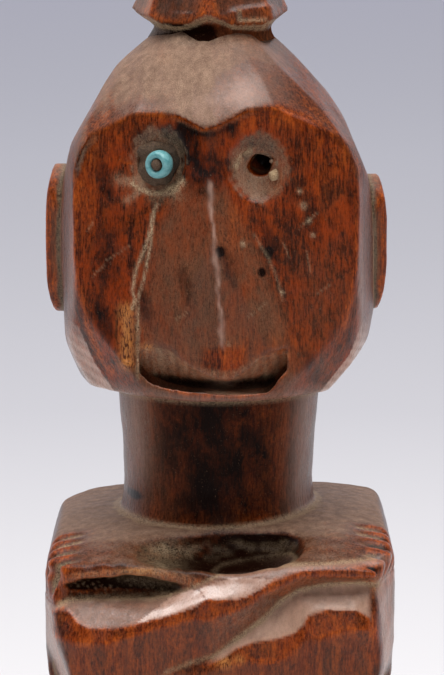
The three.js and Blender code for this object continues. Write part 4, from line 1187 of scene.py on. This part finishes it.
def wood(name, dark, middle, light):
    """Oiled hardwood. Painted masks say where it is red, worn, filmed, stained, dusty or broken, and where
    painted shade, highlights and sheen go.
    """
    s = Shader(name)
    even_at = s.place()
    grain_at = s.place((1, 1, 0.15))
    streak = s.noise(s.place((1, 1, 0.06)), 0.8, 4, 0.6, 0.3)
    grain = s.noise(grain_at, 3.2, 5, 0.68, 0.2)
    pores = s.noise(s.place((1, 1, 0.2)), 6.5, 2, 0.5)
    patch = s.noise(s.place((1, 1, 0.55)), 0.24, 4, 0.62, 0.7)
    speck = s.noise(even_at, 2.4, 6, 0.8)
    grit = s.noise(even_at, 7.5, 3, 0.7)
    tone = s.add(s.times(streak, 0.3), s.times(grain, 0.45))
    tone = s.add(tone, s.times(speck, 0.25))
    colour = s.mix(s.stretch(tone, 0.4, 0.52), dark, middle)
    colour = s.mix(s.stretch(tone, 0.5, 0.62), colour, light)
    mottle = s.noise(s.place((1, 1, 0.6)), 1.1, 5, 0.7, 0.6)
    cloud = s.add(s.times(patch, 0.6), s.times(mottle, 0.4))
    shade = s.times(s.stretch(cloud, 0.48, 0.64), 0.75)
    colour = s.mix(shade, colour, (0.018, 0.005, 0.0025))
    ember = s.times(s.mask("red"), s.stretch(s.math("SUBTRACT", tone, cloud), -0.08, 0.14))
    colour = s.mix(ember, colour, (0.29, 0.038, 0.0035))
    film = s.times(s.mask("film"), s.stretch(s.add(speck, patch), 0.75, 1.1, 0.35, 1.0))
    film_colour = s.mix(s.stretch(grit, 0.35, 0.62), (0.1, 0.038, 0.018), (0.24, 0.112, 0.062))
    colour = s.mix(s.times(film, 0.8), colour, film_colour)
    # orange-red on worn edges, and the painted light inside the drilled hole and the mouth
    hot = s.times(s.mask("hot"), s.stretch(s.add(tone, speck), 0.72, 1.12, 0.25, 1.0))
    wear_and_light_colour = s.mix(s.stretch(tone, 0.44, 0.6), (0.14, 0.018, 0.003), (0.5, 0.1, 0.01))
    colour = s.mix(hot, colour, wear_and_light_colour)
    colour = s.mix(s.times(s.stretch(pores, 0.56, 0.68), 0.45), colour, (0.012, 0.004, 0.002))
    raw = s.times(s.mask("raw"), s.stretch(speck, 0.34, 0.46), clamp=True)
    raw_colour = s.mix(s.stretch(pores, 0.5, 0.6), (0.52, 0.2, 0.055), (0.1, 0.028, 0.01))
    colour = s.mix(raw, colour, raw_colour)
    # near-black from real stains and from painted shade in hollows, grooves, pits and recesses
    dark_spread = s.add(s.times(s.mask("stain"), 1.5), s.add(s.add(streak, mottle), grain))
    stain = s.times(s.stretch(dark_spread, 1.65, 2.35), s.stretch(s.mask("stain"), 0.02, 0.3))
    colour = s.mix(stain, colour, (0.008, 0.0024, 0.0012))
    flecks = s.times(s.stretch(s.noise(even_at, 5.5, 2, 0.6), 0.66, 0.72), s.stretch(mottle, 0.42, 0.58))
    colour = s.mix(s.times(flecks, 0.55), colour, (0.34, 0.19, 0.11))
    # a pale pinkish colour where the mask asks for it: painted sheen, reflections and highlights, and pale
    # dust
    sheen = s.times(s.mask("sheen_and_dust"), s.stretch(s.add(mottle, streak), 0.7, 1.15, 0.65, 1.0))
    colour = s.mix(s.times(sheen, 0.9), colour, s.mix(grain, (0.46, 0.255, 0.175), (0.58, 0.37, 0.29)))
    fine = s.noise(s.place((1, 1, 0.5)), 6, 4, 0.8)
    lines = s.noise(s.place((1, 1, 0.08)), 2.6, 4, 0.65, 0.2)
    # dust, and the lighter upper wall inside the mouth as painted light
    cover = s.add(s.times(s.mask("dust"), 1.5), s.times(fine, 1.6))
    cover = s.add(cover, s.add(s.times(lines, 0.9), s.times(mottle, 0.5)))
    dust = s.times(s.stretch(cover, 1.85, 2.85), s.stretch(s.mask("dust"), 0.02, 0.25, 0, 0.9))
    dust_colour = s.mix(s.stretch(s.add(s.times(grit, 0.6), s.times(streak, 0.4)),
                                  0.4, 0.62), (0.17, 0.095, 0.06), (0.4, 0.26, 0.175))
    colour = s.mix(dust, colour, dust_colour)
    # tan dust, and the tan upper wall inside the mouth as painted light
    tan = s.times(s.mask("tan"), s.stretch(s.add(speck, s.times(grit, 0.5)), 0.6, 0.8))
    colour = s.mix(tan, colour, s.mix(s.stretch(grit, 0.4, 0.6), (0.3, 0.19, 0.1), (0.62, 0.45, 0.27)))
    s.set("Base Color", colour)
    matt = s.math("MAXIMUM", dust, tan)
    s.set("Roughness", s.blend(matt, s.stretch(grain, 0.3, 0.7, 0.22, 0.36), 0.75))
    s.set("Specular IOR Level", s.blend(matt, s.times(s.mask("shine"), 0.9), 0.25))
    coat = s.math("SUBTRACT", s.mask("shine"), 0.7)
    s.set("Coat Weight", s.times(s.times(coat, 2.0, clamp=True),
                                                  s.math("SUBTRACT", 1.0, matt)))
    s.set("Coat Roughness", 0.2)
    height = s.add(s.times(grain, 0.5), s.times(pores, -0.4))
    height = s.add(height, s.times(s.noise(s.place((1, 1, 0.4)), 0.9, 3, 0.5), 1.2))
    height = s.add(height, s.times(s.times(matt, grit), 1.1))
    bump = s.node("ShaderNodeBump", {"Strength": 0.75, "Distance": 0.00008, "Height": height})
    s.set("Normal", bump)
    return s.material


RED_WOOD = wood("red_wood_finish", (0.026, 0.006, 0.0025), (0.1, 0.021, 0.006), (0.26, 0.06, 0.012))
DARK_WOOD = wood("dark_wood_finish", (0.014, 0.004, 0.0015), (0.07, 0.018, 0.006), (0.2, 0.055, 0.014))
DUSTY_WOOD = wood("dusty_wood_finish", (0.026, 0.008, 0.004), (0.09, 0.026, 0.011), (0.22, 0.07, 0.025))


def pitch_finish(name, base, light):
    s = Shader(name)
    even_at = s.place()
    fibres = s.noise(s.place((1.2, 1.2, 1.2)), 3, 6, 0.8, 2.2)
    grit = s.noise(even_at, 7, 4, 0.75)
    colour = s.mix(s.stretch(grit, 0.4, 0.62), base, light)
    colour = s.mix(s.times(s.mask("shade"), 0.75), colour, (0.022, 0.017, 0.011))
    colour = s.mix(s.times(s.stretch(fibres, 0.57, 0.64), 0.75), colour, (0.34, 0.24, 0.12))
    colour = s.mix(s.mask("lump"), colour, s.mix(s.stretch(grit, 0.4, 0.6), (0.36, 0.2, 0.09),
                                                 (0.66, 0.5, 0.3)))
    s.set("Base Color", colour)
    s.set("Roughness", s.stretch(grit, 0.3, 0.7, 0.5, 0.85))
    s.set("Specular IOR Level", 0.3)
    height = s.add(fibres, grit)
    s.set("Normal", s.node("ShaderNodeBump", {"Strength": 0.7, "Distance": 0.00015, "Height": height}))
    return s.material


PITCH = pitch_finish("pitch_finish", (0.045, 0.025, 0.014), (0.15, 0.09, 0.055))
RESIDUE = pitch_finish("residue_finish", (0.09, 0.045, 0.026), (0.25, 0.15, 0.095))


def glass_finish():
    s = Shader("bead_glass_finish")
    even_at = s.place()
    swirl = s.noise(even_at, 1.1, 4, 0.6, 0.8)
    grit = s.noise(even_at, 6, 4, 0.7)
    colour = s.mix(s.stretch(swirl, 0.35, 0.65), (0.09, 0.3, 0.32), (0.2, 0.46, 0.47))
    # dirt in the bore and painted shade on the bead's right side
    dirt_and_shade = s.times(s.mask("dirt_and_shade"), s.stretch(grit, 0.38, 0.56))
    colour = s.mix(dirt_and_shade, colour, (0.075, 0.062, 0.032))
    s.set("Base Color", colour)
    s.set("Roughness", s.stretch(grit, 0.35, 0.65, 0.2, 0.42))
    s.set("Normal", s.node("ShaderNodeBump", {"Strength": 0.4, "Distance": 0.00005, "Height": grit}))
    return s.material


GLASS = glass_finish()


# ---------------------------------------------------------------- bead and pitch

BEAD = Vector((-8.15, -17.9, 158.95))
BEAD_TURN = 0.42
# how pale, where and how large each crumb of pitch is in the empty socket
PALE_LUMPS = (
    (1, (7.3, -17.4, 157.4), (0.9, 2, 1.1)),
    (0.35, (7.6, -17, 155.6), (0.7, 2, 0.7)),
    (0.5, (3.8, -17, 160.6), (1.1, 2, 0.5)),
    (0.4, (2.6, -17, 158.9), (0.5, 2, 0.6)),
)


def make_bead():
    """A wound ring bead: a fat uneven torus with a bore, turned a little towards the viewer's left."""
    around, section = 64, 28
    mesh = bmesh.new()
    rows = []
    for i in range(around):
        a = 2 * math.pi * i / around
        wobble = 1 + 0.02 * math.sin(2 * a + 0.6) + 0.008 * math.sin(3 * a + 2)
        row = []
        for j in range(section):
            b = 2 * math.pi * j / section
            radius = (1.26 + 0.54 * math.copysign(abs(math.cos(b)) ** 0.85, math.cos(b))) * wobble
            deep = 1.2 * math.copysign(abs(math.sin(b)) ** 0.9, math.sin(b)) * (1 + 0.05 * math.sin(3 * a))
            spot = Vector((radius * math.cos(a), deep, radius * 1.08 * math.sin(a)))
            spot.x, spot.y = (spot.x * math.cos(BEAD_TURN) + spot.y * math.sin(BEAD_TURN),
                              -spot.x * math.sin(BEAD_TURN) + spot.y * math.cos(BEAD_TURN))
            row.append(mesh.verts.new((BEAD + spot) * MM))
        rows.append(row)
    for i in range(around):
        for j in range(section):
            a, b = rows[i], rows[(i + 1) % around]
            k = (j + 1) % section
            mesh.faces.new((a[j], a[k], b[k], b[j])).smooth = True
    bmesh.ops.recalc_face_normals(mesh, faces=mesh.faces)
    data = bpy.data.meshes.new("bead_eye")
    mesh.to_mesh(data)
    mesh.free()
    piece = add_object("bead_eye_glass", data)
    points = np.array([v.co for v in data.vertices]) / MM - np.array(BEAD)
    across = points[:, 0] * math.cos(BEAD_TURN) - points[:, 1] * math.sin(BEAD_TURN)
    bore = np.exp(-((np.hypot(across, points[:, 2]) / 0.82) ** 8))
    # the bead's right and back side is darkened: painted shade, beside the dirt in the bore
    back = rise(points[:, 0] * 0.8 + points[:, 1], 0.4, 1.9)
    add_mask(data, "dirt_and_shade", np.maximum(bore, 0.7 * back))
    data.materials.append(GLASS)
    return piece


def make_pitch():
    step = 0.14
    at = Lattice((-13, -20.4, 153.6), (-3.6, -14.6, 164.4), step)
    bed = ellipsoid(at, (-8.2, -15.3, 159), (3.5, 2.3, 3.8)) + 0.35 * rolling(at, 1.6, 90)
    axis = Vector((-math.sin(BEAD_TURN), -math.cos(BEAD_TURN), 0))
    bed = without(bed, bar(at, BEAD + axis * 4, BEAD + axis * -0.1, 1.62), 0.2)
    bed = bed + 0.14 * rolling(at, 0.9, 91) + 0.1 * rolling(at, 0.45, 92)
    made = skin(at, bed, "bead_pitch_bed")
    core = Lattice((-10.6, -20.4, 156.8), (-5.6, -15.4, 161), step)
    plug = bar(core, BEAD + axis * 0.55, BEAD - axis * 0.9, 0.86) + 0.08 * rolling(core, 0.5, 93)
    filler = skin(core, plug, "bead_bore_dirt")
    at = Lattice((0.4, -20.6, 152.8), (10.6, -14, 164), step)
    away = np.sqrt((at.x - 5.35) ** 2 + (at.z - 158.2) ** 2)
    collar = ellipsoid(at, (5.3, -16.2, 158), (3.4, 0.8, 3.5)) + 0.4 * rolling(at, 1.4, 97)
    field = without(collar, away - 2.05 + 0.15 * rolling(at, 0.9, 94), 0.2)
    for x, y, z, r in ((7.3, -17.2, 157.4, 0.8), (7.1, -17.1, 159.3, 0.35), (3.4, -16.9, 160.2, 0.5),
                       (4.2, -16.9, 160.9, 0.4), (2.6, -17, 158.9, 0.4), (7.6, -16.9, 155.6, 0.6)):
        field = either(field, ellipsoid(at, (x, y, z), (r * 0.85, r * 0.8, r)) + 0.1
                       * rolling(at, 0.5, 98), 0.2)
    field = field + 0.1 * rolling(at, 0.8, 95) + 0.06 * rolling(at, 0.4, 96)
    ring = skin(at, field, "empty_eye_residue")
    for piece in (made, filler, ring):
        points = PIECES[piece.name]["points"]
        lump = sum(share * blob(points, centre, radii) for share, centre, radii in PALE_LUMPS)
        shade = rise(points[:, 0] + 7.6, -0.3, 1.2) * rise(159.9 - points[:, 2], -2.4,
                                                           0.5) * (points[:, 0] < 0)
        add_mask(piece.data, "lump", lump)
        add_mask(piece.data, "shade", shade)
    return made, filler, ring


bead = make_bead()
bed, bore_dirt, residue = make_pitch()


# ---------------------------------------------------------------- riding, slots and finishes

FINISH = {"red_wood": RED_WOOD, "dark_wood": DARK_WOOD, "dusty_wood": DUSTY_WOOD}
SLOT = {entry["node"]: entry["material_slot"] for entry in frame["record"]["subparts"]}

for node in sorted(SLOT):
    if node in PIECES:
        piece = PIECES[node]["piece"]
        piece.name = node + "_carved"
        piece.data.materials.append(FINISH[SLOT[node]])
        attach(piece, "root")
        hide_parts(node)

for piece, node, finish in (
    (bead, "bead_eye", None),
    (bed, "bead_pitch", PITCH),
    (residue, "empty_eye_pitch", RESIDUE),
):
    if finish:
        piece.data.materials.append(finish)
    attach(piece, "root")
    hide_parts(node)
bore_dirt.data.materials.append(PITCH)
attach(bore_dirt, "root")


# ---------------------------------------------------------------- floor, light and camera

def make_floor():
    mesh = bmesh.new()
    rings, spokes, reach = 24, 72, 7.0
    rows = [[mesh.verts.new((reach * (i / rings) ** 2 * math.cos(2 * math.pi * k / spokes),
                             reach * (i / rings) ** 2 * math.sin(2 * math.pi * k / spokes), 0))
             for k in range(spokes)] for i in range(1, rings + 1)]
    middle = mesh.verts.new((0, 0, 0))
    for k in range(spokes):
        mesh.faces.new((middle, rows[0][k], rows[0][(k + 1) % spokes]))
        for inner, outer in zip(rows, rows[1:]):
            mesh.faces.new((inner[k], outer[k], outer[(k + 1) % spokes], inner[(k + 1) % spokes]))
    data = bpy.data.meshes.new("studio_floor")
    mesh.to_mesh(data)
    mesh.free()
    floor = add_object("studio_floor", data)
    s = Shader("paper_floor")
    spot = s.node("ShaderNodeTexCoord", {}, result=3)
    far = s.node("ShaderNodeVectorMath", {0: spot}, result=1, operation="LENGTH")
    # the paper's colour changes with distance from the figure: painted light falloff, bluer far away
    near = s.mix(s.stretch(far, 0.25, 0.6), (0.78, 0.77, 0.77), (0.68, 0.675, 0.7))
    away = s.mix(s.stretch(far, 0.6, 1.4), near, (0.74, 0.74, 0.785))
    s.set("Base Color", s.mix(s.stretch(far, 1.4, 3.2), away, (0.7, 0.7, 0.78)))
    s.set("Roughness", 0.95)
    s.set("Specular IOR Level", 0.1)
    data.materials.append(s.material)


def add_light(name, place, aim, size, power, colour=(1, 1, 1)):
    data = bpy.data.lights.new(name, "AREA")
    data.shape = "RECTANGLE"
    data.size, data.size_y = size
    data.energy = power
    data.color = colour
    light = add_object(name, data)
    light.location = place
    light.rotation_euler = (Vector(aim) - Vector(place)).to_track_quat("-Z", "Y").to_euler()


def make_world():
    """Pale behind the figure and at its sides, dim on the camera's side."""
    world = bpy.data.worlds.new("studio")
    world.use_nodes = True
    tree = world.node_tree
    spot = tree.nodes.new("ShaderNodeTexCoord")
    split = tree.nodes.new("ShaderNodeSeparateXYZ")
    ramp = tree.nodes.new("ShaderNodeMapRange")
    tree.links.new(spot.outputs["Generated"], split.inputs[0])
    tree.links.new(split.outputs["Y"], ramp.inputs["Value"])
    for key, value in (("From Min", -0.55), ("From Max", 0.3), ("To Min", 0.03), ("To Max", 1.0)):
        ramp.inputs[key].default_value = value
    background = tree.nodes["Background"]
    background.inputs["Color"].default_value = (0.93, 0.93, 1.0, 1)
    tree.links.new(ramp.outputs[0], background.inputs["Strength"])
    bpy.context.scene.world = world


make_floor()
make_world()
add_light("overhead", (0.0, -0.16, 0.95), (0, 0, 0.12), (0.95, 0.55), 9.5, (1, 0.98, 0.96))
add_light("front_fill", (0.1, -1.3, 0.6), (0, 0, 0.13), (0.25, 0.6), 1.2, (1, 0.98, 0.95))

TARGET, DISTANCE, ELEVATION = Vector((0.00036, 0, 0.132)), 0.415, math.radians(10)
camera_data = bpy.data.cameras.new("camera")
camera_data.sensor_fit = "VERTICAL"
camera_data.sensor_height = 36
camera_data.lens = 154.8
camera_data.clip_start = 0.01
camera_data.clip_end = 50
camera = add_object("camera", camera_data)
camera.location = TARGET + DISTANCE * Vector((0, -math.cos(ELEVATION), math.sin(ELEVATION)))
camera.rotation_euler = (math.pi / 2 - ELEVATION, 0, 0)
bpy.context.scene.camera = camera
bpy.context.scene.view_settings.view_transform = "Standard"
